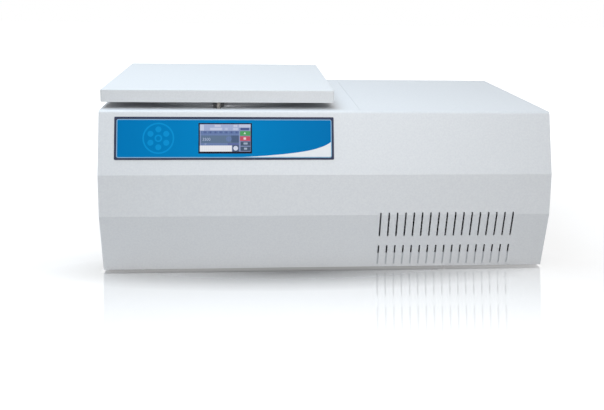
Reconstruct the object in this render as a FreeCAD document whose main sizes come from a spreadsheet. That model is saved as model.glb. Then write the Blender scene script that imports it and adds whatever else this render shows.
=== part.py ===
import FreeCAD, Part
import math
import os
import Sketcher

# Large refrigerated bench centrifuge.  Millimetres, +Z up, front towards -Y, origin on the floor
# under the middle of the cabinet.

Vector = FreeCAD.Vector
X_AXIS = Vector(1, 0, 0)
Y_AXIS = Vector(0, 1, 0)
Z_AXIS = Vector(0, 0, 1)

doc = FreeCAD.newDocument("laboratory_centrifuge")
sheet = doc.addObject("Spreadsheet::Sheet", "sizes")
nodes = []


# ---------------------------------------------------------------- sizes that keep their formula
class Size:
    """A number together with the spreadsheet formula that it comes from."""

    def __init__(self, value, formula):
        self.value = float(value)
        self.formula = formula

    @staticmethod
    def of(number):
        if isinstance(number, Size):
            return number
        return Size(number, repr(float(number)))

    def join(self, other, sign, value):
        return Size(value, f"({self.formula} {sign} {Size.of(other).formula})")

    def __add__(self, other):
        return self.join(other, "+", self.value + Size.of(other).value)

    def __sub__(self, other):
        return self.join(other, "-", self.value - Size.of(other).value)

    def __mul__(self, other):
        return self.join(other, "*", self.value * Size.of(other).value)

    def __truediv__(self, other):
        return self.join(other, "/", self.value / Size.of(other).value)

    def __radd__(self, other):
        return Size.of(other) + self

    def __rsub__(self, other):
        return Size.of(other) - self

    def __rmul__(self, other):
        return Size.of(other) * self

    def __rtruediv__(self, other):
        return Size.of(other) / self

    def __neg__(self):
        return Size(-self.value, f"(-{self.formula})")


def sine(angle):
    return Size(math.sin(math.radians(angle.value)), f"sin({angle.formula})")


def cosine(angle):
    return Size(math.cos(math.radians(angle.value)), f"cos({angle.formula})")


def tangent(angle):
    return Size(math.tan(math.radians(angle.value)), f"tan({angle.formula})")


def arc_tangent(ratio):
    return Size(math.degrees(math.atan(ratio.value)), f"atan({ratio.formula})")


def root(number):
    return Size(math.sqrt(number.value), f"sqrt({number.formula})")


class Sizes:
    """The spreadsheet's cells by alias."""

    def __init__(self):
        self.row = 0

    def write(self, alias, text, value):
        self.row += 1
        sheet.set(f"A{self.row}", alias)
        sheet.set(f"B{self.row}", text)
        sheet.setAlias(f"B{self.row}", alias)
        setattr(self, alias, Size(value, f"sizes.{alias}"))

    def derive(self, alias, size):
        """A size that follows from others gets a cell of its own with the formula."""
        self.write(alias, "=" + size.formula.replace("sizes.", ""), size.value)


DRIVING_SIZES = {
    # cabinet
    "cabinet_height": 306, "bay_width": 365, "seam_from_lid": 49,
    "sheet_metal": 2, "fit_gap": 0.2, "seam_gap": 0.5, "clearance": 1, "tool_overrun": 1,
    "upper_facet_height": 115, "lower_fold_height": 113,
    "top_setback": 36, "bottom_setback": 37,
    "front_bend_radius": 7, "front_flange": 9,
    "pan_flange": 30,
    "divider_flange": 24, "divider_from_seam": 12, "rear_recess": 6,
    "base_lift": 4, "foot_radius": 20, "foot_taper": 3, "foot_from_side": 62, "foot_from_end": 99.2,
    # front vents
    "vent_count": 17, "vent_pitch": 16, "vent_width": 3.2, "vent_from_seam": 38,
    "vent_upper_top": 117.5, "vent_upper_length": 50.5,
    "vent_lower_top": 47.2, "vent_lower_length": 42,
    # rear grille
    "grille_count": 17, "grille_pitch": 10, "grille_slot_width": 3.6,
    "grille_slot_length": 130, "grille_from_right": 70, "grille_low": 60,
    # control panel
    "overlay_from_left": 29, "overlay_drop": 12, "overlay_width": 404, "overlay_height": 80,
    "overlay_thickness": 0.8, "overlay_corner": 2,
    "display_from_left": 182, "display_drop": 23.5, "display_width": 98.4, "display_height": 57,
    "display_thickness": 9, "display_margin": 0.4,
    "board_width": 150, "board_height": 72, "board_thickness": 1.6, "board_behind": 14,
    "standoff_radius": 3, "standoff_inset": 6,
    # lid
    "lid_margin": 40, "lid_front_setback": 60, "lid_thickness": 24, "lid_gap": 12,
    "lid_corner": 4, "lid_edge": 2.5, "liner_thickness": 1.5,
    "plug_margin": 2, "plug_height": 5, "plug_edge": 3,
    # hinges
    "hinge_inset": 7, "hinge_half_spacing": 140, "hinge_width": 60, "hinge_leaf": 2,
    "hinge_barrel_radius": 3.7, "hinge_pin_radius": 2.5, "hinge_leaf_reach": 24, "knuckle_gap": 0.5,
    # gas springs
    "spring_from_side": 23, "spring_base_inset": 15, "spring_base_drop": 16,
    "spring_stud_from_axis": 155, "spring_stud_drop": 17,
    "spring_tube_radius": 7, "spring_tube_length": 112, "spring_rod_radius": 3,
    "spring_rod_inside": 60, "spring_pin_radius": 3, "stud_pin_radius": 2.5,
    "spring_eye_radius": 6.5, "rod_eye_radius": 9, "rod_eye_play": 2.9, "rod_eye_sink": 1,
    "spring_eye_width": 8,
    "bracket_sheet": 3, "bracket_half_width": 10, "base_ear_offset": 7.5, "spring_slot_half_width": 13,
    "slot_ahead": 14, "slot_behind": 5,
    # chamber
    "chamber_front_room": 114, "chamber_rear_room": 90,
    "bowl_radius": 178, "bowl_wall": 1.5, "bowl_depth": 160,
    "bowl_flange_width": 22, "bowl_bottom_radius": 30, "bowl_hole_radius": 46,
    "bowl_collar_height": 12, "deck_hole_margin": 1.5,
    "gasket_width": 12, "gasket_from_rim": 1, "gasket_round": 4,
    "soft_gap": 0.3,
    "coil_radius": 4, "coil_gap": 0.4, "coil_turns": 5, "coil_pitch": 20, "coil_low": 24,
    "coil_bend_angle": 20,
    "jacket_wall": 8, "jacket_lift": 6, "guard_wall": 7, "guard_gap": 0.6, "guard_below_deck": 30,
    "guard_notch_width": 44, "guard_notch_height": 34,
    # drive
    "mount_radius": 15, "mount_height": 38, "mount_spacing": 85,
    "motor_plate_size": 210, "motor_plate_thickness": 8,
    "motor_radius": 62, "motor_flange_radius": 76, "motor_flange_thickness": 8,
    "motor_below_plate": 32, "motor_top_room": 18, "motor_nose_radius": 44, "motor_nose_height": 6,
    "motor_fin_count": 16, "motor_fin_depth": 4, "motor_fin_width": 5,
    "spindle_radius": 8, "shaft_play": 0.05, "spindle_in_motor": 70, "spindle_end_room": 2,
    "drive_hub_radius": 24,
    "drive_hub_thickness": 8, "boot_wall": 3, "boot_clearance": 1.2,
    # rotor
    "rotor_plate_radius": 112, "rotor_plate_thickness": 28, "rotor_hub_radius": 30,
    "rotor_hub_height": 86, "rotor_above_plate": 14, "pivot_radius": 94, "pivot_below_deck": 48,
    "notch_radius": 42, "notch_centre_radius": 82, "pin_radius": 5, "pin_reach": 6, "pin_play": 0.1,
    "lightening_hole_radius": 10, "lightening_hole_at": 84,
    "nut_radius": 20, "nut_height": 16, "nut_grips": 8, "nut_grip_radius": 5,
    # buckets
    "bucket_radius": 34, "bucket_wall": 2.5, "bucket_base": 4, "bucket_above_pivot": 22,
    "swing_clearance": 12, "bucket_round": 6, "boss_half_width": 12,
    "boss_above_pivot": 14, "boss_below_pivot": 16, "boss_gap": 0.6, "groove_gap": 0.3,
    # lid lock
    "striker_inset": 4, "striker_depth": 14, "striker_thickness": 6, "striker_length": 36,
    "striker_window_width": 9, "striker_window_height": 14, "striker_window_drop": 19,
    "guide_width": 20, "guide_height": 8.2, "guide_gap": 1, "striker_slot_margin": 2,
    "lock_width": 54, "lock_depth": 24, "lock_height": 58, "lock_wall": 2, "lock_offset": 10,
    "hook_thickness": 5, "hook_arm_width": 8, "hook_nose_reach": 14, "hook_nose_height": 5,
    "hook_pivot_drop": 46, "hook_travel": 18, "hook_back": 5.6, "hook_neck": 1.6,
    "hook_nose_sink": 4.5, "lock_shaft_radius": 3, "gearbox_width": 26, "gearbox_height": 30,
    "lock_motor_radius": 10, "lock_motor_length": 34,
    # refrigeration
    "condenser_from_seam": 37, "condenser_height": 160, "condenser_tubes": 12,
    "condenser_tube_depth": 22, "condenser_tube_thickness": 3, "header_radius": 11,
    "condenser_from_front": 66, "condenser_above_pan": 8, "condenser_from_right": 28,
    "shroud_depth": 26, "shroud_sheet": 2, "shroud_gap": 3, "fan_radius": 70, "fan_tip_gap": 4,
    "fan_blades": 7, "fan_blade_rise": 8.1, "fan_blade_camber": 1.62, "fan_blade_sink": 4, "fan_tip_margin": 2,
    "fan_hub_radius": 24, "fan_depth": 18, "fan_blade_thickness": 2,
    "fan_pitch_angle": 32, "fan_motor_radius": 26, "fan_motor_length": 40, "fan_shaft_radius": 4,
    "fan_spoke_width": 10, "fan_bore_depth": 28,
    "compressor_radius": 82, "compressor_height": 190, "compressor_lift": 14,
    "compressor_from_right": 150, "compressor_from_rear": 140, "compressor_foot": 120, "compressor_round": 45,
    "compressor_seam": 4, "stub_rise": 117.8, "terminal_from_axis": 65.6, "terminal_width": 54,
    "terminal_height": 49, "terminal_depth": 37,
    "grommet_radius": 11, "grommet_from_edge": 2,
    "drier_radius": 13, "drier_length": 110, "drier_lift": 39, "pipe_radius": 5, "pipe_bend_radius": 13,
    "suction_over_guard": 12, "pipe_over_condenser": 30, "discharge_reach": 32.5,
    # electrics
    "inverter_width": 70, "inverter_depth": 190, "inverter_height": 170, "inverter_lift": 30,
    "inverter_fins": 12, "inverter_fin_reach": 23,
    "inlet_width": 27, "inlet_height": 20, "inlet_flange_width": 50, "inlet_flange_height": 24,
    "inlet_depth": 22, "inlet_flange_thickness": 2, "inlet_from_seam": 55, "inlet_lift": 70,
    "inlet_socket_width": 23, "inlet_socket_height": 16, "inlet_socket_depth": 16,
    "inlet_contact_width": 4, "inlet_contact_pitch": 7,
    "switch_from_inlet": 60, "switch_width": 22, "switch_height": 30,
    "switch_frame": 3, "switch_body_depth": 24, "switch_proud": 2, "rocker_gap": 0.4,
    "rocker_cavity": 11, "rocker_low": 0.8, "rocker_high": 3.6,
    # screws
    "screw_head_radius": 3.5, "screw_head_height": 1.6, "screw_inset": 26, "side_screw_inset": 37,
}

size = Sizes()
for alias, number in DRIVING_SIZES.items():
    size.write(alias, repr(number), number)


# ---------------------------------------------------------------- levels and places
size.derive("lid_width", (size.bowl_radius + size.lid_margin) * 2)
size.derive("bay_seam_from_left", size.lid_width + size.seam_from_lid)
size.derive("cabinet_width", size.bay_seam_from_left + size.bay_width)
size.derive("chamber_from_rear", size.bowl_radius + size.chamber_rear_room)
size.derive("cabinet_depth", size.chamber_from_rear + size.bowl_radius + size.chamber_front_room)
size.derive("lid_depth", size.cabinet_depth - size.lid_front_setback)
size.derive("upper_fold_height", size.cabinet_height - size.upper_facet_height)
size.derive("bowl_flange_radius", size.bowl_radius + size.bowl_flange_width)
size.derive("gasket_outer_radius", size.bowl_flange_radius - size.gasket_from_rim)
size.derive("gasket_inner_radius", size.gasket_outer_radius - size.gasket_width)
size.derive("bucket_below_pivot", size.bowl_radius - size.pivot_radius - size.swing_clearance)
size.derive("spring_half_spacing", size.lid_width / 2 - size.spring_from_side)
size.derive("left_x", -size.cabinet_width / 2)
size.derive("right_x", size.cabinet_width / 2)
size.derive("front_y", -size.cabinet_depth / 2)
size.derive("rear_y", size.cabinet_depth / 2)
size.derive("floor_z", size.base_lift + size.sheet_metal)
size.derive("deck_top", size.base_lift + size.cabinet_height)
size.derive("deck_under", size.deck_top - size.sheet_metal)
size.derive("upper_fold_z", size.base_lift + size.upper_fold_height)
size.derive("lower_fold_z", size.base_lift + size.lower_fold_height)
size.derive("upper_lean", arc_tangent(size.top_setback / size.upper_facet_height))
size.derive("lower_lean", arc_tangent(size.bottom_setback / size.lower_fold_height))
size.derive("inner_left_x", size.left_x + size.sheet_metal + size.fit_gap)
size.derive("inner_right_x", size.right_x - size.sheet_metal - size.fit_gap)
size.derive("panel_rear_y", size.rear_y - size.rear_recess)
size.derive("inner_rear_y", size.panel_rear_y - size.sheet_metal - size.fit_gap)
size.derive("seam_x", size.left_x + size.bay_seam_from_left)
size.derive("divider_x", size.seam_x - size.divider_from_seam)
size.derive("lid_under", size.deck_top + size.lid_gap)
size.derive("lid_top", size.lid_under + size.lid_thickness)
size.derive("lid_front_y", size.rear_y - size.lid_depth)
size.derive("lid_x", size.left_x + size.lid_width / 2)
size.derive("hinge_y", size.rear_y - size.hinge_inset)
size.derive("hinge_z", size.deck_top + size.lid_gap / 2)
size.derive("chamber_y", size.rear_y - size.chamber_from_rear)
size.derive("bowl_floor_z", size.deck_top - size.bowl_depth)
size.derive("pivot_z", size.deck_top - size.pivot_below_deck)


def upper_facet_y(height, inset):
    """Y of the leaning upper facet at a height, moved inwards by a wall thickness."""
    rise = (height - size.upper_fold_z) * tangent(size.upper_lean)
    return size.front_y + rise + inset / cosine(size.upper_lean)


def lower_facet_y(height, inset):
    """Y of the undercut lower facet at a height, moved inwards by a wall thickness."""
    drop = (size.lower_fold_z - height) * tangent(size.lower_lean)
    return size.front_y + drop + inset / cosine(size.lower_lean)


def front_outline(inset, bottom, top):
    """The folded front seen from the side, from its bottom edge up to its top edge."""
    return [
        (lower_facet_y(bottom, inset), bottom),
        (size.front_y + inset, size.lower_fold_z + inset * tangent(size.lower_lean / 2)),
        (size.front_y + inset, size.upper_fold_z - inset * tangent(size.upper_lean / 2)),
        (upper_facet_y(top, inset), top),
    ]


# ---------------------------------------------------------------- building tools
def bind(feature, **sizes):
    """Set properties and tie each to its formula."""
    for name, number in sizes.items():
        number = Size.of(number)
        setattr(feature, name, round(number.value) if name == "Occurrences" else number.value)
        if "sizes." in number.formula:
            feature.setExpression(name, number.formula)


def place(feature, x=0, y=0, z=0, axis=Z_AXIS, angle=0):
    """Put a feature at a point, turned about an axis, with its place tied to the sheet."""
    spot = [Size.of(number) for number in (x, y, z)]
    angle = Size.of(angle)
    turn = FreeCAD.Rotation(axis, angle.value)
    feature.Placement = FreeCAD.Placement(Vector(*[number.value for number in spot]), turn)
    for letter, number in zip("xyz", spot):
        if "sizes." in number.formula:
            feature.setExpression(f"Placement.Base.{letter}", number.formula)
    if "sizes." in angle.formula:
        feature.setExpression("Placement.Rotation.Angle", angle.formula)
    return feature


def node(feature, label):
    """Name a finished sub-part and list it for export."""
    feature.Label = label
    nodes.append(feature)
    return feature


def loose_body(name):
    """A body that becomes one solid of a group."""
    return doc.addObject("PartDesign::Body", name)


def body(label):
    return node(loose_body(label), label)


def sketch_on(owner, role, offset=0):
    """A sketch on one of a body's origin planes, moved along the plane's normal."""
    plane = next(item for item in owner.Origin.OriginFeatures if item.Role == role)
    sketch = owner.newObject("Sketcher::SketchObject", f"{owner.Label}_sketch")
    sketch.AttachmentSupport = [(plane, "")]
    sketch.MapMode = "FlatFace"
    offset = Size.of(offset)
    sketch.AttachmentOffset = FreeCAD.Placement(Vector(0, 0, offset.value), FreeCAD.Rotation())
    if "sizes." in offset.formula:
        sketch.setExpression("AttachmentOffset.Base.z", offset.formula)
    return sketch


def constrain(sketch, kind, *references, to):
    """Add one dimension and tie it to its formula."""
    number = Size.of(to)
    index = sketch.addConstraint(Sketcher.Constraint(kind, *references, number.value))
    if "sizes." in number.formula:
        sketch.setExpression(f"Constraints[{index}]", number.formula)


def hold(sketch, edge, end, x, y):
    constrain(sketch, "DistanceX", -1, 1, edge, end, to=x)
    constrain(sketch, "DistanceY", -1, 1, edge, end, to=y)


def polygon(sketch, points):
    """Closed outline of straight edges, every corner held by its X and Y."""
    corners = [Vector(Size.of(x).value, Size.of(y).value, 0) for x, y in points]
    count = len(corners)
    first = sketch.GeometryCount
    edges = [Part.LineSegment(corners[i], corners[(i + 1) % count]) for i in range(count)]
    sketch.addGeometry(edges, False)
    for i in range(count):
        following = first + (i + 1) % count
        sketch.addConstraint(Sketcher.Constraint("Coincident", first + i, 2, following, 1))
    for i, (x, y) in enumerate(points):
        hold(sketch, first + i, 1, x, y)
    return sketch


def rectangle(sketch, left, low, right, high):
    return polygon(sketch, [(left, low), (right, low), (right, high), (left, high)])


def circle(sketch, x, y, radius):
    x, y, radius = Size.of(x), Size.of(y), Size.of(radius)
    index = sketch.addGeometry(Part.Circle(Vector(x.value, y.value, 0), Z_AXIS, radius.value), False)
    constrain(sketch, "Radius", index, to=radius)
    hold(sketch, index, 3, x, y)
    return sketch


def round_slot(sketch, x, low, high, width, along_x=False):
    """A slot with round ends, from low to high along Y (or along X)."""
    radius = Size.of(width) / 2
    ends = [Size.of(low) + radius, Size.of(high) - radius]
    cross = Size.of(x)
    turn = -math.pi / 2 if along_x else 0

    def spot(across, along):
        return (along, across) if along_x else (across, along)

    def vector(across, along):
        return Vector(*[number.value for number in spot(across, along)], 0)

    first = sketch.GeometryCount
    far_arc = Part.Circle(vector(cross, ends[1]), Z_AXIS, radius.value)
    near_arc = Part.Circle(vector(cross, ends[0]), Z_AXIS, radius.value)
    sign = -1 if along_x else 1
    sketch.addGeometry([
        Part.ArcOfCircle(far_arc, turn, turn + math.pi),
        Part.LineSegment(vector(cross - radius * sign, ends[1]), vector(cross - radius * sign, ends[0])),
        Part.ArcOfCircle(near_arc, turn + math.pi, turn + 2 * math.pi),
        Part.LineSegment(vector(cross + radius * sign, ends[0]), vector(cross + radius * sign, ends[1])),
    ], False)
    joins = [(0, 2, 1, 1), (1, 2, 2, 1), (2, 2, 3, 1), (3, 2, 0, 1)]
    for one, end, other, start in joins:
        sketch.addConstraint(Sketcher.Constraint("Tangent", first + one, end, first + other, start))
    sketch.addConstraint(Sketcher.Constraint("Equal", first, first + 2))
    constrain(sketch, "Radius", first, to=radius)
    hold(sketch, first, 3, *spot(cross, ends[1]))
    hold(sketch, first + 2, 3, *spot(cross, ends[0]))
    return sketch


def feature_of(owner, kind, sketch):
    made = owner.newObject(f"PartDesign::{kind}", f"{owner.Label}_{kind.lower()}")
    made.Profile = sketch
    return made


def pad(sketch, length, backwards=False, centred=False):
    """Extrude along the sketch's normal."""
    made = feature_of(sketch.getParentGeoFeatureGroup(), "Pad", sketch)
    bind(made, Length=length)
    made.Reversed = backwards
    made.Midplane = centred
    return made


def pocket(sketch, depth=None, forwards=False):
    """Cut against the sketch's normal, or right through both ways when no depth is given."""
    made = feature_of(sketch.getParentGeoFeatureGroup(), "Pocket", sketch)
    if depth is None:
        made.Type = "ThroughAll"
        made.Midplane = True
    else:
        bind(made, Length=depth)
        made.Reversed = forwards
    return made


def revolve(sketch, angle=360):
    made = feature_of(sketch.getParentGeoFeatureGroup(), "Revolution", sketch)
    made.ReferenceAxis = (sketch, ["V_Axis"])
    made.Angle = angle
    return made


def repeat_along(owner, originals, sketch, count, pitch):
    """Repeat features along the sketch's horizontal axis."""
    pattern = owner.newObject("PartDesign::LinearPattern", f"{owner.Label}_row")
    pattern.Originals = originals
    pattern.Direction = (sketch, ["H_Axis"])
    bind(pattern, Occurrences=count, Length=pitch * (count - 1))
    owner.Tip = pattern
    return pattern


def repeat_around(owner, originals, count):
    """Repeat features about the body's own Z axis."""
    axis = next(item for item in owner.Origin.OriginFeatures if item.Role == "Z_Axis")
    pattern = owner.newObject("PartDesign::PolarPattern", f"{owner.Label}_ring")
    pattern.Originals = originals
    pattern.Axis = (axis, [""])
    pattern.Angle = 360
    bind(pattern, Occurrences=count)
    owner.Tip = pattern
    return pattern


def soften(owner, radius, wanted, kind="Fillet"):
    """Fillet (or chamfer) the edges of the body's tip that a test picks."""
    doc.recompute()
    base = owner.Tip
    names = [f"Edge{i + 1}" for i, edge in enumerate(base.Shape.Edges) if wanted(edge)]
    if not names:
        raise RuntimeError(f"{owner.Label}: no edge to soften")
    made = owner.newObject(f"PartDesign::{kind}", f"{owner.Label}_{kind.lower()}")
    made.Base = (base, names)
    if kind == "Fillet":
        bind(made, Radius=radius)
    else:
        bind(made, Size=radius)
    return made


def near(one, other, slack=0.01):
    return abs(one - Size.of(other).value) < slack


def upright(edge):
    """A straight edge along Z."""
    if not isinstance(edge.Curve, (Part.Line, Part.LineSegment)):
        return False
    return abs(edge.tangentAt(edge.FirstParameter).z) > 0.999


def ring_edge(radius, height):
    """Picks a full circle of a radius at a height."""
    def wanted(edge):
        curve = edge.Curve
        return isinstance(curve, Part.Circle) and near(curve.Radius, radius) and near(curve.Center.z, height)
    return wanted


def crosswise_edge(y, z):
    """Picks the straight edges along X through a point of the YZ plane."""
    def wanted(edge):
        ends = [vertex.Point for vertex in edge.Vertexes]
        return len(ends) == 2 and all(near(end.y, y) and near(end.z, z) for end in ends)
    return wanted


def primitive(kind, label, **sizes):
    made = doc.addObject(f"Part::{kind}", label)
    bind(made, **sizes)
    return made


def block(label, left, near_y, low, width, depth, height):
    made = primitive("Box", label, Length=width, Width=depth, Height=height)
    return place(made, left, near_y, low)


def cylinder(label, radius, length, x=0, y=0, z=0, axis=Z_AXIS, angle=0):
    made = primitive("Cylinder", label, Radius=radius, Height=length)
    return place(made, x, y, z, axis, angle)


def along_x(label, radius, start_x, length, y, z):
    return cylinder(label, radius, length, start_x, y, z, Y_AXIS, 90)


def along_y(label, radius, start_y, length, x, z):
    """A cylinder that runs towards +Y from its start."""
    return cylinder(label, radius, length, x, start_y, z, X_AXIS, -90)


def fuse(label, *parts):
    made = doc.addObject("Part::MultiFuse", label)
    made.Shapes = list(parts)
    return made


def cut(label, base, *tools):
    made = doc.addObject("Part::Cut", label)
    made.Base = base
    made.Tool = tools[0] if len(tools) == 1 else fuse(f"{label}_tools", *tools)
    return made


def group(label, *parts):
    made = doc.addObject("Part::Compound", label)
    made.Links = list(parts)
    return node(made, label)


def tube_along(label, radius, points, bend_radius):
    """A round bar along straight runs joined by tangent arcs."""
    corners = [Vector(*[Size.of(number).value for number in point]) for point in points]
    edges = []
    start = corners[0]
    for before, corner, after in zip(corners, corners[1:], corners[2:]):
        into = (corner - before).normalize()
        out = (after - corner).normalize()
        half_turn = into.getAngle(out) / 2
        setback = bend_radius.value * math.tan(half_turn)
        arc_start = corner - into * setback
        arc_end = corner + out * setback
        inward = (out - into).normalize()
        centre = corner + inward * (bend_radius.value / math.cos(half_turn))
        middle = centre - inward * bend_radius.value
        edges.append(Part.LineSegment(start, arc_start).toShape())
        edges.append(Part.Arc(arc_start, middle, arc_end).toShape())
        start = arc_end
    edges.append(Part.LineSegment(start, corners[-1]).toShape())
    path = Part.Wire(edges)
    section = Part.Wire(Part.Circle(corners[0], corners[1] - corners[0], radius.value).toShape())
    solid = path.makePipeShell([section], True, False)
    made = doc.addObject("Part::Feature", label)
    made.Shape = solid
    return made


# ---------------------------------------------------------------- cabinet
def vent_row(owner, top, length):
    """One row of upright slots through the folded front."""
    sketch = sketch_on(owner, "XZ_Plane")
    first_x = size.seam_x + size.vent_from_seam
    high = size.base_lift + top
    round_slot(sketch, first_x, high - length, high, size.vent_width)
    cut_slot = pocket(sketch)
    repeat_along(owner, [cut_slot], sketch, size.vent_count, size.vent_pitch)


def front_panel():
    """The folded front sheet, bent back over the top edge into a narrow flange."""
    panel = body("front_panel")
    wall = size.sheet_metal
    bend_y = upper_facet_y(size.deck_top, 0)
    inner_bend_y = upper_facet_y(size.deck_under, wall)
    flange_end = bend_y + size.front_flange
    outer = front_outline(Size.of(0), size.base_lift, size.deck_top)
    inner = front_outline(wall, size.base_lift, size.deck_under)
    flange = [(flange_end, size.deck_top), (flange_end, size.deck_under)]
    pad(polygon(sketch_on(panel, "YZ_Plane"), outer + flange + inner[::-1]), size.cabinet_width, centred=True)
    soften(panel, size.front_bend_radius, crosswise_edge(bend_y, size.deck_top))
    soften(panel, size.front_bend_radius - wall, crosswise_edge(inner_bend_y, size.deck_under))
    window = sketch_on(panel, "XZ_Plane")
    margin = size.display_margin
    left = size.left_x + size.display_from_left - margin
    high = size.deck_top - (size.display_drop - margin) * cosine(size.upper_lean)
    low = high - (size.display_height + margin * 2) * cosine(size.upper_lean)
    slant = size.display_thickness * sine(size.upper_lean)
    rectangle(window, left, low - slant, left + size.display_width + margin * 2, high + slant)
    pocket(window)
    vent_row(panel, size.vent_upper_top, size.vent_upper_length)
    vent_row(panel, size.vent_lower_top, size.vent_lower_length)


def side_panel(label, inner_x):
    """A flat side sheet behind the ends of the folded front, drawn on its low-X face."""
    panel = body(label)
    inset = size.sheet_metal + size.fit_gap
    top = size.deck_under
    outline = front_outline(inset, size.base_lift, top) + [(size.rear_y, top), (size.rear_y, size.base_lift)]
    sketch = polygon(sketch_on(panel, "YZ_Plane", inner_x), outline)
    pad(sketch, size.sheet_metal)
    soften(panel, size.front_bend_radius, crosswise_edge(upper_facet_y(top, inset), top))
    return panel


def rear_panel():
    """The back sheet, set in from the casing's rear edge: exhaust grille, inlet and switch cut-outs."""
    panel = body("rear_panel")
    sheet_sketch = sketch_on(panel, "XZ_Plane", -size.panel_rear_y)
    rectangle(sheet_sketch, size.inner_left_x, size.base_lift, size.inner_right_x, size.deck_under)
    pad(sheet_sketch, size.sheet_metal)
    grille = sketch_on(panel, "XZ_Plane")
    low = size.base_lift + size.grille_low
    first_x = size.right_x - size.grille_from_right
    first_x = first_x - size.grille_pitch * (size.grille_count - 1)
    round_slot(grille, first_x, low, low + size.grille_slot_length, size.grille_slot_width)
    slot = pocket(grille)
    repeat_along(panel, [slot], grille, size.grille_count, size.grille_pitch)
    x = size.seam_x + size.inlet_from_seam
    z = size.base_lift + size.inlet_lift
    cutouts = ((x, size.inlet_width, size.inlet_height),
               (x + size.switch_from_inlet, size.switch_width, size.switch_height))
    for middle, width, height in cutouts:
        hole = sketch_on(panel, "XZ_Plane")
        half_width = width / 2 + size.fit_gap
        half_height = height / 2 + size.fit_gap
        rectangle(hole, middle - half_width, z - half_height, middle + half_width, z + half_height)
        pocket(hole)


def deck_sheet(label, start_x, length):
    """A flat top sheet behind the front panel's flange."""
    deck = body(label)
    start_y = upper_facet_y(size.deck_top, 0) + size.front_flange + size.seam_gap
    sketch = sketch_on(deck, "XY_Plane", size.deck_under)
    pad(rectangle(sketch, start_x, start_y, start_x + length, size.rear_y), size.sheet_metal)
    return deck


def chamber_deck():
    deck = deck_sheet("chamber_deck", size.left_x, size.bay_seam_from_left - size.seam_gap / 2)
    bore = sketch_on(deck, "XY_Plane")
    circle(bore, size.lid_x, size.chamber_y, size.bowl_radius + size.bowl_wall + size.deck_hole_margin)
    pocket(bore)
    striker_slot = sketch_on(deck, "XY_Plane")
    half = size.striker_thickness / 2 + size.striker_slot_margin
    low = size.lid_front_y + size.striker_inset - size.striker_slot_margin
    high = low + size.striker_depth + size.striker_slot_margin * 2
    rectangle(striker_slot, size.lid_x - half, low, size.lid_x + half, high)
    pocket(striker_slot)
    for side in (-1, 1):
        slot = sketch_on(deck, "XY_Plane")
        x = size.lid_x + size.spring_half_spacing * side
        start = size.hinge_y - size.spring_stud_from_axis - size.slot_ahead
        end = size.rear_y - size.sheet_metal - size.slot_behind
        half = size.spring_slot_half_width
        rectangle(slot, x - half, start, x + half, end)
        pocket(slot)


def bay_cover():
    start = size.seam_x + size.seam_gap / 2
    deck_sheet("bay_cover", start, size.right_x - start)


def base_pan():
    """The floor tray: flanges turned up on all four sides, the front one leaning like the casing."""
    pan = body("base_pan")
    wall = size.sheet_metal
    low = size.base_lift
    high = low + size.pan_flange
    left = size.inner_left_x
    width = size.inner_right_x - left
    rear = size.inner_rear_y

    def flange_y(height, inset):
        return lower_facet_y(height, wall + inset) + size.fit_gap

    solid = polygon(sketch_on(pan, "YZ_Plane", left), [
        (flange_y(low, 0), low), (rear, low), (rear, high), (flange_y(high, 0), high)])
    pad(solid, width)
    hollow = polygon(sketch_on(pan, "YZ_Plane", left + wall), [
        (flange_y(size.floor_z, wall), size.floor_z), (rear - wall, size.floor_z), (rear - wall, high),
        (flange_y(high, wall), high)])
    pocket(hollow, width - wall * 2, forwards=True)


def bay_divider():
    """A channel-shaped wall under the seam of the two top sheets."""
    wall = body("bay_divider")
    inside = size.sheet_metal
    start = lower_facet_y(size.base_lift, inside) + size.fit_gap * 2 + inside
    end = size.inner_rear_y - inside - size.fit_gap
    left = size.divider_x
    flange_end = left + size.divider_flange
    outline = [
        (left, size.floor_z), (flange_end, size.floor_z), (flange_end, size.floor_z + inside),
        (left + inside, size.floor_z + inside), (left + inside, size.deck_under - inside),
        (flange_end, size.deck_under - inside), (flange_end, size.deck_under), (left, size.deck_under),
    ]
    sketch = polygon(sketch_on(wall, "XZ_Plane", -end), outline)
    pad(sketch, end - start)
    for y, z, radius in pipe_holes():
        hole = sketch_on(wall, "YZ_Plane")
        circle(hole, y, z, radius + size.clearance)
        pocket(hole)


def rubber_feet():
    feet = []
    for end_x, side in ((size.left_x, 1), (size.right_x, -1)):
        for end_y, way in ((size.front_y, 1), (size.rear_y, -1)):
            foot = primitive("Cone", "foot", Height=size.base_lift)
            bind(foot, Radius1=size.foot_radius - size.foot_taper, Radius2=size.foot_radius)
            place(foot, end_x + size.foot_from_side * side, end_y + size.foot_from_end * way, 0)
            feet.append(foot)
    group("rubber_feet", *feet)


def casing_screws():
    """Pan-head screws that hold the side panels and the rear panel."""
    heads = []
    radius = size.screw_head_radius
    height = size.screw_head_height
    inset = size.side_screw_inset
    for y in (size.front_y + inset, size.rear_y - inset):
        for z in (size.base_lift + inset, size.deck_top - inset * 2):
            heads.append(along_x("left_screw", radius, size.left_x - height, height, y, z))
            heads.append(along_x("right_screw", radius, size.right_x, height, y, z))
    inset = size.screw_inset
    for x in (size.left_x + inset, size.lid_x, size.right_x - inset):
        for z in (size.base_lift + inset, size.deck_top - inset):
            heads.append(along_y("rear_screw", radius, size.panel_rear_y, height, x, z))
    group("casing_screws", *heads)


# ---------------------------------------------------------------- control panel on the leaning facet
def on_facet(feature):
    """Seat a piece drawn upright (face at Y = 0, top of the facet at Z = 0) on the leaning facet."""
    return place(feature, size.left_x, upper_facet_y(size.deck_top, 0), size.deck_top, X_AXIS, -size.upper_lean)


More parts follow.
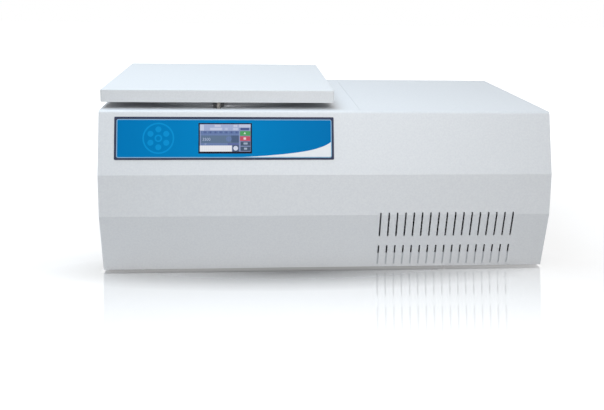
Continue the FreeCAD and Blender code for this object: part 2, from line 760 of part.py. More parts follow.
def control_overlay():
    """The printed front film of the controls, with a window for the display."""
    film = body("control_overlay")
    left = size.overlay_from_left
    right = left + size.overlay_width

    def outer_corner(edge):
        centre = edge.CenterOfMass
        through = abs(edge.tangentAt(edge.FirstParameter).y) > 0.999
        return through and (near(centre.x, left) or near(centre.x, right))

    sketch = sketch_on(film, "XZ_Plane")
    rectangle(sketch, left, -size.overlay_drop - size.overlay_height, right, -size.overlay_drop)
    pad(sketch, size.overlay_thickness)
    window = sketch_on(film, "XZ_Plane")
    margin = size.display_margin / 2
    near_left = size.display_from_left - margin
    high = -size.display_drop + margin
    rectangle(window, near_left, high - size.display_height - margin * 2,
              near_left + size.display_width + margin * 2, high)
    pocket(window)
    soften(film, size.overlay_corner, outer_corner)
    on_facet(film)


def touch_display():
    screen = body("touch_display")
    sketch = sketch_on(screen, "XZ_Plane", size.overlay_thickness)
    left = size.display_from_left
    rectangle(sketch, left, -size.display_drop - size.display_height,
              left + size.display_width, -size.display_drop)
    pad(sketch, size.display_thickness, backwards=True)
    on_facet(screen)


def board_corner(x_side, z_side):
    """Centre of a standoff in the facet's own X and Z."""
    x = size.display_from_left + size.display_width / 2
    z = -size.display_drop - size.display_height / 2
    reach_x = size.board_width / 2 - size.standoff_inset
    reach_z = size.board_height / 2 - size.standoff_inset
    return x + reach_x * x_side, z + reach_z * z_side


def control_board():
    """Circuit board behind the display, with four holes for its standoffs."""
    board = body("control_board")
    sketch = sketch_on(board, "XZ_Plane", -size.board_behind)
    x = size.display_from_left + size.display_width / 2
    z = -size.display_drop - size.display_height / 2
    rectangle(sketch, x - size.board_width / 2, z - size.board_height / 2,
              x + size.board_width / 2, z + size.board_height / 2)
    pad(sketch, size.board_thickness, backwards=True)
    on_facet(board)


def board_standoffs():
    posts = []
    for x_side in (-1, 1):
        for z_side in (-1, 1):
            x, z = board_corner(x_side, z_side)
            post = loose_body("standoff")
            sketch = sketch_on(post, "XZ_Plane", -size.sheet_metal)
            circle(sketch, x, z, size.standoff_radius)
            pad(sketch, size.board_behind - size.sheet_metal, backwards=True)
            posts.append(on_facet(post))
    group("board_standoffs", *posts)


# ---------------------------------------------------------------- power inlet and switch
def rear_frame(owner, x, offset_y, width, height):
    """A rectangle about the height of the inlet, drawn across Y at a given Y."""
    z = size.base_lift + size.inlet_lift
    sketch = sketch_on(owner, "XZ_Plane", -offset_y)
    return rectangle(sketch, x - width / 2, z - height / 2, x + width / 2, z + height / 2)


def mains_inlet():
    """Appliance inlet in the rear panel: flange, recessed socket and three flat contacts."""
    inlet = body("mains_inlet")
    x = size.seam_x + size.inlet_from_seam
    z = size.base_lift + size.inlet_lift
    thickness = size.inlet_flange_thickness
    face = size.panel_rear_y + thickness
    pad(rear_frame(inlet, x, face, size.inlet_flange_width, size.inlet_flange_height), thickness)
    pad(rear_frame(inlet, x, face, size.inlet_width, size.inlet_height), size.inlet_depth)
    pocket(rear_frame(inlet, x, face, size.inlet_socket_width, size.inlet_socket_height), size.inlet_socket_depth,
           forwards=True)
    for step in (-1, 0, 1):
        contact = sketch_on(inlet, "XZ_Plane", size.inlet_socket_depth - face)
        middle = x + size.inlet_contact_pitch * step
        half = size.inlet_contact_width / 2
        low = z - size.inlet_socket_height / 2 + half
        rectangle(contact, middle - half, low, middle + half, low + half)
        pad(contact, size.inlet_socket_depth - half, backwards=True)


def power_switch():
    """A framed rocker beside the inlet, free to tilt in its frame."""
    x = size.seam_x + size.inlet_from_seam + size.switch_from_inlet
    z = size.base_lift + size.inlet_lift
    frame = body("switch_frame")
    rim = size.switch_frame
    face = size.panel_rear_y + size.switch_proud
    pad(rear_frame(frame, x, face, size.switch_width + rim * 2, size.switch_height + rim * 2), size.switch_proud)
    pad(rear_frame(frame, x, face, size.switch_width, size.switch_height), size.switch_body_depth)
    inner_width = size.switch_width - rim
    inner_height = size.switch_height - rim
    pocket(rear_frame(frame, x, face, inner_width, inner_height), size.rocker_cavity, forwards=True)

    rocker = body("switch_rocker")
    gap = size.rocker_gap
    reach = inner_height / 2 - gap * 2
    proud = size.switch_proud
    profile = [(-proud, -reach), (size.rocker_low, -reach), (proud, 0), (size.rocker_high, reach),
               (-proud, reach), (-proud * 2, 0)]
    pad(polygon(sketch_on(rocker, "YZ_Plane"), profile), inner_width - gap * 2, centred=True)
    place(rocker, x, size.panel_rear_y, z)


# ---------------------------------------------------------------- lid
def lid_shell():
    """The folded lid skin: a shallow box, open below, with softened corners and top edges."""
    shell = body("lid_shell")
    right = size.left_x + size.lid_width
    pad(rectangle(sketch_on(shell, "XY_Plane", size.lid_under), size.left_x, size.lid_front_y, right, size.rear_y),
        size.lid_thickness)
    soften(shell, size.lid_corner, upright)

    def top_edge(edge):
        return all(near(vertex.Point.z, size.lid_top) for vertex in edge.Vertexes)
    soften(shell, size.lid_edge, top_edge)
    wall = size.sheet_metal
    hollow = sketch_on(shell, "XY_Plane", size.lid_under)
    rectangle(hollow, size.left_x + wall, size.lid_front_y + wall, right - wall, size.rear_y - wall)
    pocket(hollow, size.lid_thickness - wall, forwards=True)


def lid_liner():
    """The underside of the lid, with a shallow round plug that reaches into the gasket."""
    liner = body("lid_liner")
    wall = size.sheet_metal + size.fit_gap
    right = size.left_x + size.lid_width
    plug_radius = size.bowl_radius + size.plug_margin
    plate = sketch_on(liner, "XY_Plane", size.lid_under)
    rectangle(plate, size.left_x + wall, size.lid_front_y + wall, right - wall, size.rear_y - wall)
    pad(plate, size.liner_thickness)
    plug = circle(sketch_on(liner, "XY_Plane", size.lid_under), size.lid_x, size.chamber_y, plug_radius)
    pad(plug, size.plug_height, backwards=True)
    soften(liner, size.plug_edge, ring_edge(plug_radius, size.lid_under - size.plug_height))


def lid_insulation():
    wall = size.sheet_metal + size.clearance
    low = size.lid_under + size.liner_thickness
    foam = block("lid_insulation", size.left_x + wall, size.lid_front_y + wall, low, size.lid_width - wall * 2,
                 size.lid_depth - wall * 2, size.lid_thickness - size.liner_thickness - size.sheet_metal)
    node(foam, "lid_insulation")


def lid_striker():
    """A steel tongue with a window for the lock hook."""
    striker = body("lid_striker")
    low = size.lid_under - size.striker_length
    front = size.lid_front_y + size.striker_inset
    rear = front + size.striker_depth
    tongue = sketch_on(striker, "YZ_Plane", size.lid_x)
    rectangle(tongue, front, low, rear, size.lid_under)
    pad(tongue, size.striker_thickness, centred=True)
    window = sketch_on(striker, "YZ_Plane", size.lid_x)
    middle = (front + rear) / 2
    half = size.striker_window_width / 2
    high = size.lid_under - size.striker_window_drop
    rectangle(window, middle - half, high - size.striker_window_height, middle + half, high)
    pocket(window)


def striker_guide():
    """Black block around the striker's root, notched so that the steel shows."""
    guide = body("striker_guide")
    front = size.lid_front_y + size.striker_inset
    half = size.guide_width / 2
    low = size.lid_under - size.guide_height
    profile = sketch_on(guide, "XZ_Plane", -(front + size.striker_depth))
    slot = size.striker_thickness / 2 + size.guide_gap
    polygon(profile, [
        (size.lid_x - half, low), (size.lid_x - slot, low), (size.lid_x - slot, size.lid_under - size.guide_gap),
        (size.lid_x + slot, size.lid_under - size.guide_gap), (size.lid_x + slot, low), (size.lid_x + half, low),
        (size.lid_x + half, size.lid_under), (size.lid_x - half, size.lid_under)])
    pad(profile, size.striker_depth)
    opening = sketch_on(guide, "XY_Plane", size.lid_under)
    rectangle(opening, size.lid_x - slot, front, size.lid_x + slot, front + size.striker_depth)
    pocket(opening, size.guide_gap * 2)


# ---------------------------------------------------------------- hinges
def hinge_knuckles(label, x, lengths, root_z, leaf):
    """Barrels about the hinge axis, each joined to its leaf by a web."""
    parts = [leaf]
    radius = size.hinge_barrel_radius
    for start, length in lengths:
        parts.append(along_x(f"{label}_barrel", radius, x + start, length, size.hinge_y, size.hinge_z))
        low, high = (root_z, size.hinge_z) if root_z.value < size.hinge_z.value else (size.hinge_z, root_z)
        parts.append(block(f"{label}_web", x + start, size.hinge_y - radius, low, length, radius * 2, high - low))
    return fuse(f"{label}_solid", *parts)


def hinges():
    """Two hinges: a base on the deck, a leaf under the lid and a pin through both."""
    width = size.hinge_width
    outer = width / 4
    gap = size.knuckle_gap
    leaf = size.hinge_leaf
    reach = size.hinge_leaf_reach
    radius = size.hinge_barrel_radius
    bases, leaves, pins = [], [], []
    for side in (-1, 1):
        x = size.lid_x + size.hinge_half_spacing * side
        start = x - width / 2
        base_leaf = block("base_leaf", start, size.hinge_y - reach, size.deck_top, width, reach + radius, leaf)
        base = hinge_knuckles("hinge_base", x, [(-width / 2, outer), (width / 2 - outer, outer)],
                              size.deck_top + leaf, base_leaf)
        lid_leaf = block("lid_leaf", start, size.hinge_y - reach, size.lid_under - leaf, width,
                         reach + radius, leaf)
        middle = [(-width / 2 + outer + gap, width - outer * 2 - gap * 2)]
        lid_side = hinge_knuckles("hinge_leaf", x, middle, size.lid_under - leaf, lid_leaf)
        for part, kept in ((base, bases), (lid_side, leaves)):
            bore = along_x("pin_bore", size.hinge_pin_radius + size.shaft_play, start, width,
                           size.hinge_y, size.hinge_z)
            kept.append(cut("bored_hinge", part, bore))
        pins.append(along_x("hinge_pin", size.hinge_pin_radius, start, width, size.hinge_y, size.hinge_z))
    group("hinge_bases", *bases)
    group("hinge_leaves", *leaves)
    group("hinge_pins", *pins)


# ---------------------------------------------------------------- gas springs
size.derive("spring_base_y", size.rear_y - size.spring_base_inset)
size.derive("spring_base_z", size.deck_top - size.spring_base_drop)
size.derive("stud_y", size.hinge_y - size.spring_stud_from_axis)
size.derive("stud_z", size.deck_top - size.spring_stud_drop)
size.derive("spring_run", size.spring_base_y - size.stud_y)
size.derive("spring_fall", size.spring_base_z - size.stud_z)
size.derive("spring_closed_length", root(size.spring_run * size.spring_run + size.spring_fall * size.spring_fall))
size.derive("spring_tilt", arc_tangent(size.spring_fall / size.spring_run))


def along_spring(feature, x):
    """Seat a piece drawn towards -Y from the base pin on the closed spring's line."""
    return place(feature, x, size.spring_base_y, size.spring_base_z, X_AXIS, size.spring_tilt)


def spring_tube(label, x):
    """The pressure tube: an eye on the base pin, then a tube bored for the rod."""
    tube = body(label)
    eye = circle(sketch_on(tube, "YZ_Plane"), 0, 0, size.spring_eye_radius)
    pad(eye, size.spring_eye_width, centred=True)
    barrel = circle(sketch_on(tube, "XZ_Plane", size.spring_eye_radius), 0, 0, size.spring_tube_radius)
    pad(barrel, size.spring_tube_length - size.spring_eye_radius)
    neck = circle(sketch_on(tube, "XZ_Plane"), 0, 0, size.spring_rod_radius)
    pad(neck, size.spring_eye_radius * 2)
    bore = circle(sketch_on(tube, "XZ_Plane", size.spring_tube_length), 0, 0,
                  size.spring_rod_radius + size.shaft_play)
    pocket(bore, size.spring_rod_inside + size.spring_rod_radius)
    pin_hole = circle(sketch_on(tube, "YZ_Plane"), 0, 0, size.spring_pin_radius + size.shaft_play)
    pocket(pin_hole)
    along_spring(tube, x)


def spring_rod(label, x):
    """The piston rod, ending in a loose eye around the lid's stud."""
    rod = body(label)
    end = size.spring_closed_length
    start = size.spring_tube_length - size.spring_rod_inside
    stem = circle(sketch_on(rod, "XZ_Plane", start), 0, 0, size.spring_rod_radius)
    pad(stem, end - start - size.rod_eye_radius + size.rod_eye_sink)
    eye = circle(sketch_on(rod, "YZ_Plane"), -end, 0, size.rod_eye_radius)
    pad(eye, size.spring_eye_width, centred=True)
    hole = circle(sketch_on(rod, "YZ_Plane"), -end, 0, size.stud_pin_radius + size.rod_eye_play)
    pocket(hole)
    along_spring(rod, x)


def spring_brackets():
    """Ears with pins: one pair hangs from the deck, the other from the lid's liner."""
    base_ears, lid_ears = [], []
    sheet_width = size.bracket_sheet
    half = size.bracket_half_width
    offset = size.spring_eye_width / 2 + size.knuckle_gap
    for side in (-1, 1):
        x = size.lid_x + size.spring_half_spacing * side
        ear_x = x + offset if side < 0 else x - offset - sheet_width
        pin_x = x - size.spring_eye_width / 2 if side < 0 else ear_x
        pin_length = size.spring_eye_width + size.knuckle_gap + sheet_width
        low = size.spring_base_z - half
        base_x = ear_x + size.base_ear_offset * (1 if side < 0 else -1)
        rear_ear = block("base_ear", base_x, size.spring_base_y - half, low, sheet_width,
                         size.inner_rear_y - size.spring_base_y + half, size.deck_under - low)
        base_pin_x = pin_x if side < 0 else base_x
        base_pin = along_x("base_pin", size.spring_pin_radius, base_pin_x, pin_length + size.base_ear_offset,
                           size.spring_base_y, size.spring_base_z)
        base_ears.append(fuse("base_bracket", rear_ear, base_pin))
        low = size.stud_z - half
        front_ear = block("lid_ear", ear_x, size.stud_y - half, low, sheet_width, half * 2, size.lid_under - low)
        stud = along_x("lid_stud", size.stud_pin_radius, pin_x, pin_length, size.stud_y, size.stud_z)
        lid_ears.append(fuse("lid_bracket", front_ear, stud))
    group("spring_base_brackets", *base_ears)
    group("spring_lid_brackets", *lid_ears)


# ---------------------------------------------------------------- chamber
def at_chamber(feature):
    return place(feature, size.lid_x, size.chamber_y)


def turned(label, outline):
    """A ring or cup turned about the chamber's axis from (radius, height) corners."""
    made = body(label)
    revolve(polygon(sketch_on(made, "XZ_Plane"), outline))
    at_chamber(made)
    return made


def chamber_bowl():
    radius = size.bowl_radius
    wall = size.bowl_wall
    low = size.bowl_floor_z
    collar = low + size.bowl_collar_height
    hole = size.bowl_hole_radius
    bowl = turned("chamber_bowl", [
        (hole, low - wall), (radius + wall, low - wall), (radius + wall, size.deck_top),
        (size.bowl_flange_radius, size.deck_top), (size.bowl_flange_radius, size.deck_top + wall),
        (radius, size.deck_top + wall), (radius, low), (hole + wall, low), (hole + wall, collar), (hole, collar)])
    soften(bowl, size.bowl_bottom_radius, ring_edge(radius, low))
    soften(bowl, size.bowl_bottom_radius + wall, ring_edge(radius + wall, low - wall))


def chamber_gasket():
    low = size.deck_top + size.bowl_wall
    high = size.lid_under - size.soft_gap
    inner, outer = size.gasket_inner_radius, size.gasket_outer_radius
    gasket = turned("chamber_gasket", [(inner, low), (outer, low), (outer, high), (inner, high)])
    soften(gasket, size.gasket_round, ring_edge(inner, high))
    soften(gasket, size.gasket_round, ring_edge(outer, high))


def coil_track_radius():
    return size.bowl_radius + size.bowl_wall + size.coil_gap + size.coil_radius


def evaporator_coil():
    """Copper tube wound round the bowl in level turns, each led up to the next by an S-bend."""
    radius = coil_track_radius().value
    bend_angle = math.radians(size.coil_bend_angle.value)
    turn_end = 2 * math.pi - bend_angle
    handle = radius * math.tan(bend_angle / 4) * 4 / 3
    pitch = size.coil_pitch.value

    def at(angle, height):
        return Vector(radius * math.cos(angle), radius * math.sin(angle), height)

    def heading(angle):
        return Vector(-math.sin(angle), math.cos(angle), 0)

    edges = []
    for turn in range(int(size.coil_turns.value)):
        height = turn * pitch
        if turn:
            low_end = at(turn_end, height - pitch)
            high_end = at(0, height)
            bend = Part.BezierCurve()
            leaving = low_end + heading(turn_end) * handle
            arriving = high_end - heading(0) * handle
            bend.setPoles([low_end, leaving, arriving, high_end])
            edges.append(bend.toShape())
        edges.append(Part.Arc(at(0, height), at(turn_end / 2, height), at(turn_end, height)).toShape())
    section = Part.Circle(at(0, 0), heading(0), size.coil_radius.value)
    coil = doc.addObject("Part::Feature", "evaporator_coil")
    coil.Shape = Part.Wire(edges).makePipeShell([Part.Wire(section.toShape())], True, False)
    place(coil, size.lid_x, size.chamber_y, size.bowl_floor_z + size.coil_low)
    node(coil, "evaporator_coil")


def insulation_jacket():
    inner = coil_track_radius() + size.coil_radius + size.coil_gap
    outer = inner + size.jacket_wall
    low = size.bowl_floor_z + size.jacket_lift
    high = size.deck_top - size.guard_below_deck
    turned("insulation_jacket", [(inner, low), (outer, low), (outer, high), (inner, high)])


def guard_inner_radius():
    return coil_track_radius() + size.coil_radius + size.coil_gap + size.jacket_wall + size.guard_gap


def guard_ring():
    """The steel safety cylinder round the chamber, notched at its foot for pipes and cables."""
    inner = guard_inner_radius()
    outer = inner + size.guard_wall
    high = size.deck_top - size.guard_below_deck
    ring = turned("guard_ring", [(inner, size.floor_z), (outer, size.floor_z), (outer, high), (inner, high)])
    notch = sketch_on(ring, "YZ_Plane")
    half = size.guard_notch_width / 2
    rectangle(notch, -half, size.floor_z, half, size.floor_z + size.guard_notch_height)
    pocket(notch, outer + size.tool_overrun, forwards=True)


# ---------------------------------------------------------------- drive
size.derive("motor_plate_z", size.floor_z + size.mount_height)
size.derive("motor_seat_z", size.motor_plate_z + size.motor_plate_thickness)
size.derive("nose_top_z", size.bowl_floor_z - size.motor_top_room)
size.derive("motor_top_z", size.nose_top_z - size.motor_nose_height)
size.derive("rotor_low_z", size.pivot_z + size.rotor_plate_thickness / 2 + size.rotor_above_plate
            - size.rotor_hub_height)
size.derive("rotor_top_z", size.rotor_low_z + size.rotor_hub_height)


def vibration_mounts():
    mounts = []
    for x in (-1, 1):
        for y in (-1, 1):
            mounts.append(cylinder("vibration_mount", size.mount_radius, size.mount_height,
                                   size.lid_x + size.mount_spacing * x, size.chamber_y + size.mount_spacing * y,
                                   size.floor_z))
    group("vibration_mounts", *mounts)


def motor_plate():
    plate = body("motor_plate")
    half = size.motor_plate_size / 2
    sketch = rectangle(sketch_on(plate, "XY_Plane", size.motor_plate_z), -half, -half, half, half)
    pad(sketch, size.motor_plate_thickness)
    hole = circle(sketch_on(plate, "XY_Plane"), 0, 0, size.motor_radius + size.clearance)
    pocket(hole)
    soften(plate, size.mount_radius, upright)
    at_chamber(plate)


def drive_motor():
    """Induction motor hung in the plate by its flange, with cooling ribs and a blind spindle bore."""
    motor = body("drive_motor")
    radius = size.motor_radius
    low = size.motor_plate_z - size.motor_below_plate
    high = size.motor_top_z
    stator = circle(sketch_on(motor, "XY_Plane", low), 0, 0, radius)
    pad(stator, high - low)
    rib = sketch_on(motor, "XY_Plane", size.motor_seat_z + size.motor_flange_thickness * 2)
    half = size.motor_fin_width / 2
    rectangle(rib, radius - size.motor_fin_depth, -half, radius + size.motor_fin_depth, half)
    rib_height = size.motor_top_z - size.motor_seat_z - size.motor_flange_thickness * 3
    groove = pocket(rib, rib_height, forwards=True)
    repeat_around(motor, [groove], size.motor_fin_count)
    flange = circle(sketch_on(motor, "XY_Plane", size.motor_seat_z), 0, 0, size.motor_flange_radius)
    pad(flange, size.motor_flange_thickness)
    nose = circle(sketch_on(motor, "XY_Plane", high), 0, 0, size.motor_nose_radius)
    pad(nose, size.motor_nose_height)
    bore = circle(sketch_on(motor, "XY_Plane", size.nose_top_z), 0, 0, size.spindle_radius + size.shaft_play)
    pocket(bore, size.spindle_in_motor)
    at_chamber(motor)


def shaft_boot():
    """Rubber boot from the motor's nose to the bowl's collar, closing round the spindle."""
    wall = size.boot_wall
    foot = size.motor_nose_radius - wall
    foot_z = size.nose_top_z
    collar = size.bowl_hole_radius - size.soft_gap
    waist_z = size.bowl_floor_z - wall * 3
    crest_z = size.bowl_floor_z + size.bowl_collar_height + wall
    tip = size.spindle_radius + size.boot_clearance
    tip_z = size.rotor_low_z - size.drive_hub_thickness - wall * 2
    turned("shaft_boot", [
        (foot - wall, foot_z), (foot, foot_z), (foot, foot_z + wall * 3), (collar, waist_z), (collar, crest_z),
        (tip + wall, tip_z), (tip, tip_z), (tip, tip_z - wall), (collar - wall, crest_z - wall),
        (collar - wall, waist_z + wall), (foot - wall, foot_z + wall * 4)])


def drive_spindle():
    hub_low = size.rotor_low_z - size.drive_hub_thickness
    start = size.nose_top_z - size.spindle_in_motor + size.spindle_end_room
    end = size.rotor_top_z + size.nut_height / 2
    radius = size.spindle_radius
    hub = size.drive_hub_radius
    turned("drive_spindle", [
        (0, start), (radius, start), (radius, hub_low), (hub, hub_low), (hub, size.rotor_low_z),
        (radius, size.rotor_low_z), (radius, end), (0, end)])


# ---------------------------------------------------------------- swing-out rotor
def rotor_head():
    """Four-armed head milled from one disc: round notches for the buckets, a pin each side of a notch."""
    rotor = body("rotor_head")
    low = size.pivot_z - size.rotor_plate_thickness / 2
    disc = circle(sketch_on(rotor, "XY_Plane", low), 0, 0, size.rotor_plate_radius)
    pad(disc, size.rotor_plate_thickness)
    radius = size.notch_radius
    centre = size.notch_centre_radius
    beyond = size.rotor_plate_radius + size.notch_radius
    throat = pocket(circle(sketch_on(rotor, "XY_Plane"), centre, 0, radius))
    mouth = pocket(rectangle(sketch_on(rotor, "XY_Plane"), centre, -radius, beyond, radius))
    repeat_around(rotor, [throat, mouth], 4)
    pins = []
    for side in (-1, 1):
        root_y = radius + size.pin_reach / 2
        sketch = circle(sketch_on(rotor, "XZ_Plane", root_y * side), size.pivot_radius, size.pivot_z,
                        size.pin_radius)
        pins.append(pad(sketch, size.pin_reach * 1.5, backwards=side > 0))
    repeat_around(rotor, pins, 4)
    at = size.lightening_hole_at * cosine(Size.of(45))
    hole = pocket(circle(sketch_on(rotor, "XY_Plane"), at, at, size.lightening_hole_radius))
    repeat_around(rotor, [hole], 4)
    hub = circle(sketch_on(rotor, "XY_Plane", size.rotor_low_z), 0, 0, size.rotor_hub_radius)
    pad(hub, size.rotor_hub_height)
    bore = circle(sketch_on(rotor, "XY_Plane"), 0, 0, size.spindle_radius + size.shaft_play)
    pocket(bore)
    at_chamber(rotor)


def rotor_nut():
    nut = body("rotor_nut")
    pad(circle(sketch_on(nut, "XY_Plane", size.rotor_top_z), 0, 0, size.nut_radius), size.nut_height)
    grip = circle(sketch_on(nut, "XY_Plane"), size.nut_radius + size.nut_grip_radius / 2, 0, size.nut_grip_radius)
    repeat_around(nut, [pocket(grip)], size.nut_grips)
    bore = circle(sketch_on(nut, "XY_Plane", size.rotor_top_z), 0, 0, size.spindle_radius + size.shaft_play)
    pocket(bore, size.nut_height / 2 + size.soft_gap, forwards=True)
    at_chamber(nut)


def bucket(number):
    """A round swing-out bucket with a grooved boss on each side that hooks over the rotor's pins."""
    cup = body(f"bucket_{number}")
    pivot = size.pivot_radius
    low = size.pivot_z - size.bucket_below_pivot
    tall = size.bucket_below_pivot + size.bucket_above_pivot
    pad(circle(sketch_on(cup, "XY_Plane", low), pivot, 0, size.bucket_radius), tall)
    soften(cup, size.bucket_round, ring_edge(size.bucket_radius, low))
    outer = size.notch_radius - size.boss_gap
    boss_low = size.pivot_z - size.boss_below_pivot
    half = size.boss_half_width
    bosses = rectangle(sketch_on(cup, "XY_Plane", boss_low), pivot - half, -outer, pivot + half, outer)
    pad(bosses, size.boss_below_pivot + size.boss_above_pivot)
    inside = size.bucket_radius - size.bucket_wall
    cavity = circle(sketch_on(cup, "XY_Plane", low + tall), pivot, 0, inside)
    pocket(cavity, tall - size.bucket_base)
    reach = size.pin_reach + size.groove_gap - size.boss_gap
    for side in (-1, 1):
        groove = size.pin_radius + size.pin_play
        crown = circle(sketch_on(cup, "XZ_Plane", outer * side), pivot, size.pivot_z, groove)
        pocket(crown, reach, forwards=side < 0)
        way = sketch_on(cup, "XZ_Plane", outer * side)
        rectangle(way, pivot - groove, boss_low - size.tool_overrun, pivot + groove, size.pivot_z)
        pocket(way, reach, forwards=side < 0)
    place(cup, size.lid_x, size.chamber_y, 0, Z_AXIS, 90 * (number - 1))


# ---------------------------------------------------------------- lid lock
size.derive("striker_y", size.lid_front_y + size.striker_inset + size.striker_depth / 2)
size.derive("hook_x", size.lid_x + size.lock_offset)
size.derive("hook_z", size.deck_top - size.hook_pivot_drop)


def lock_housing():
    """Open-topped steel box under the deck that carries the hook's shaft."""
    left = size.lid_x - size.lock_width / 2 + size.lock_offset
    front = size.striker_y - size.lock_depth / 2
    low = size.deck_under - size.lock_height
    wall = size.lock_wall
    outer = block("lock_box", left, front, low, size.lock_width, size.lock_depth, size.lock_height)
    inner = block("lock_space", left + wall, front + wall, low + wall, size.lock_width - wall * 2,
                  size.lock_depth - wall * 2, size.lock_height)
    bore = along_y("lock_bore", size.lock_shaft_radius + size.shaft_play, front - size.tool_overrun,
                   size.lock_depth + size.tool_overrun * 2, size.hook_x, size.hook_z)
    node(cut("lock_housing", outer, inner, bore), "lock_housing")


def lock_hook():
    """Hook plate on its shaft, turned back by its travel; its nose enters the striker's window."""
    hook = body("lock_hook")
    half = size.hook_arm_width / 2
    nose_z = size.lid_under - size.striker_window_drop - size.striker_window_height + size.hook_nose_sink
    rise = nose_z - size.hook_z
    nose = size.hook_nose_height
    back = size.hook_back
    neck = -size.hook_neck
    outline = [
        (-half, -half), (back, -half), (back, rise + nose), (-size.hook_nose_reach, rise + nose),
        (-size.hook_nose_reach, rise), (neck, rise), (neck, half), (-half, half)]
    pad(polygon(sketch_on(hook, "XZ_Plane"), outline), size.hook_thickness, centred=True)
    shaft = circle(sketch_on(hook, "XZ_Plane", size.lock_depth / 2), 0, 0, size.lock_shaft_radius)
    pad(shaft, size.lock_depth, backwards=True)
    place(hook, size.hook_x, size.striker_y, size.hook_z, Y_AXIS, size.hook_travel)


def lock_motor():
    """Gear case on the side of the lock box with its small motor standing out to the right."""
    left = size.lid_x + size.lock_width / 2 + size.lock_offset
    low = size.hook_z - size.gearbox_height / 2
    case = block("gear_case", left, size.striker_y - size.lock_depth / 2, low, size.gearbox_width,
                 size.lock_depth, size.gearbox_height)
    can = along_x("motor_can", size.lock_motor_radius, left + size.gearbox_width, size.lock_motor_length,
                  size.striker_y, size.hook_z)
    node(fuse("lock_motor", case, can), "lock_motor")


# ---------------------------------------------------------------- refrigeration
size.derive("condenser_right_x", size.right_x - size.condenser_from_right)
size.derive("condenser_left_x", size.seam_x + size.condenser_from_seam)
size.derive("condenser_y", size.front_y + size.condenser_from_front + size.condenser_tube_depth / 2)
size.derive("condenser_top_z", size.floor_z + size.condenser_above_pan + size.condenser_height)
size.derive("shroud_front_y", size.condenser_y + size.condenser_tube_depth / 2 + size.shroud_gap)
size.derive("shroud_rear_y", size.shroud_front_y + size.shroud_depth)
size.derive("fan_x", (size.condenser_left_x + size.condenser_right_x) / 2)
size.derive("fan_z", (size.floor_z + size.condenser_top_z) / 2)
size.derive("compressor_x", size.right_x - size.compressor_from_right)
size.derive("compressor_y", size.rear_y - size.compressor_from_rear)
size.derive("compressor_low_z", size.floor_z + size.compressor_lift)
size.derive("stub_z", size.compressor_low_z + size.stub_rise)
size.derive("drier_low_z", size.floor_z + size.drier_lift)
size.derive("suction_z", size.deck_top - size.guard_below_deck + size.suction_over_guard)
size.derive("liquid_z", size.floor_z + size.guard_notch_height / 2)


def suction_start():
    """Where the coil's last turn ends and the suction line rises from it."""
    reach = coil_track_radius()
    return (size.lid_x + reach * cosine(size.coil_bend_angle),
            size.chamber_y - reach * sine(size.coil_bend_angle))


def pipe_holes():
    """Where the two refrigerant lines pass the divider: y, z and pipe radius."""
    return [(suction_start()[1], size.suction_z, size.coil_radius),
            (size.chamber_y, size.liquid_z, size.coil_radius)]


def condenser():
    """Flat-tube condenser: two upright headers with a stack of flat tubes between them."""
    coil = body("condenser")
    header = size.header_radius
    left = size.condenser_left_x + header
    right = size.condenser_right_x - header
    for x in (left, right):
        pad(circle(sketch_on(coil, "XY_Plane", size.floor_z), x, size.condenser_y, header),
            size.condenser_top_z - size.floor_z)
    tube = sketch_on(coil, "YZ_Plane", left)
    pitch = size.condenser_height / size.condenser_tubes
    low = size.floor_z + size.condenser_above_pan + pitch / 2
    half = size.condenser_tube_depth / 2
    round_slot(tube, low, size.condenser_y - half, size.condenser_y + half, size.condenser_tube_thickness,
               along_x=True)
    flat_tube = pad(tube, right - left)
    stack = repeat_along(coil, [flat_tube], tube, size.condenser_tubes, pitch)
    stack.Direction = (tube, ["V_Axis"])


def fan_shroud():
    """Sheet box behind the condenser with a round collar about the fan."""
    shroud = body("fan_shroud")
    gap = size.fit_gap
    left = size.condenser_left_x + size.header_radius * 2 + gap
    right = size.condenser_right_x - size.header_radius * 2 - gap
    wall = size.shroud_sheet
    high = size.condenser_top_z
    outer = sketch_on(shroud, "XZ_Plane", -size.shroud_front_y)
    rectangle(outer, left, size.floor_z, right, high)
    pad(outer, size.shroud_depth, backwards=True)
    hollow = sketch_on(shroud, "XZ_Plane", -size.shroud_front_y)
    rectangle(hollow, left + wall, size.floor_z + wall, right - wall, high - wall)
    pocket(hollow, size.shroud_depth - wall)
    mouth = size.fan_radius + size.fan_tip_gap
    collar = sketch_on(shroud, "XZ_Plane", -size.shroud_rear_y)
    circle(collar, size.fan_x, size.fan_z, mouth + wall)
    pad(collar, size.fan_depth, backwards=True)
    pocket(circle(sketch_on(shroud, "XZ_Plane"), size.fan_x, size.fan_z, mouth))


def at_fan(feature, start_y):
    """Seat a piece drawn about +Z on the fan's axis, with +Z towards the rear."""
    return place(feature, size.fan_x, start_y, size.fan_z, X_AXIS, -90)


def cooling_fan():
    """Moulded fan: hub, cambered blades and a short shaft into its motor."""
    fan = body("cooling_fan")
    pad(circle(sketch_on(fan, "XY_Plane"), 0, 0, size.fan_hub_radius), size.fan_depth)
    half = size.fan_depth / 2
    rise = size.fan_blade_rise
    reach = rise / tangent(size.fan_pitch_angle)
    thick = size.fan_blade_thickness
    belly = half - size.fan_blade_camber
    root_x = size.fan_hub_radius - size.fan_blade_sink
    outline = [
        (-reach, half - rise), (0, belly), (reach, half + rise), (reach - thick, half + rise),
        (-thick / 2, belly + thick), (-reach - thick, half - rise)]
    blade_length = size.fan_radius - root_x - size.fan_tip_margin
    blade = pad(polygon(sketch_on(fan, "YZ_Plane", root_x), outline), blade_length)
    repeat_around(fan, [blade], size.fan_blades)
    shaft = circle(sketch_on(fan, "XY_Plane", size.fan_depth), 0, 0, size.fan_shaft_radius)
    pad(shaft, size.fan_hub_radius)
    at_fan(fan, size.shroud_rear_y + size.fan_blade_thickness / 2)


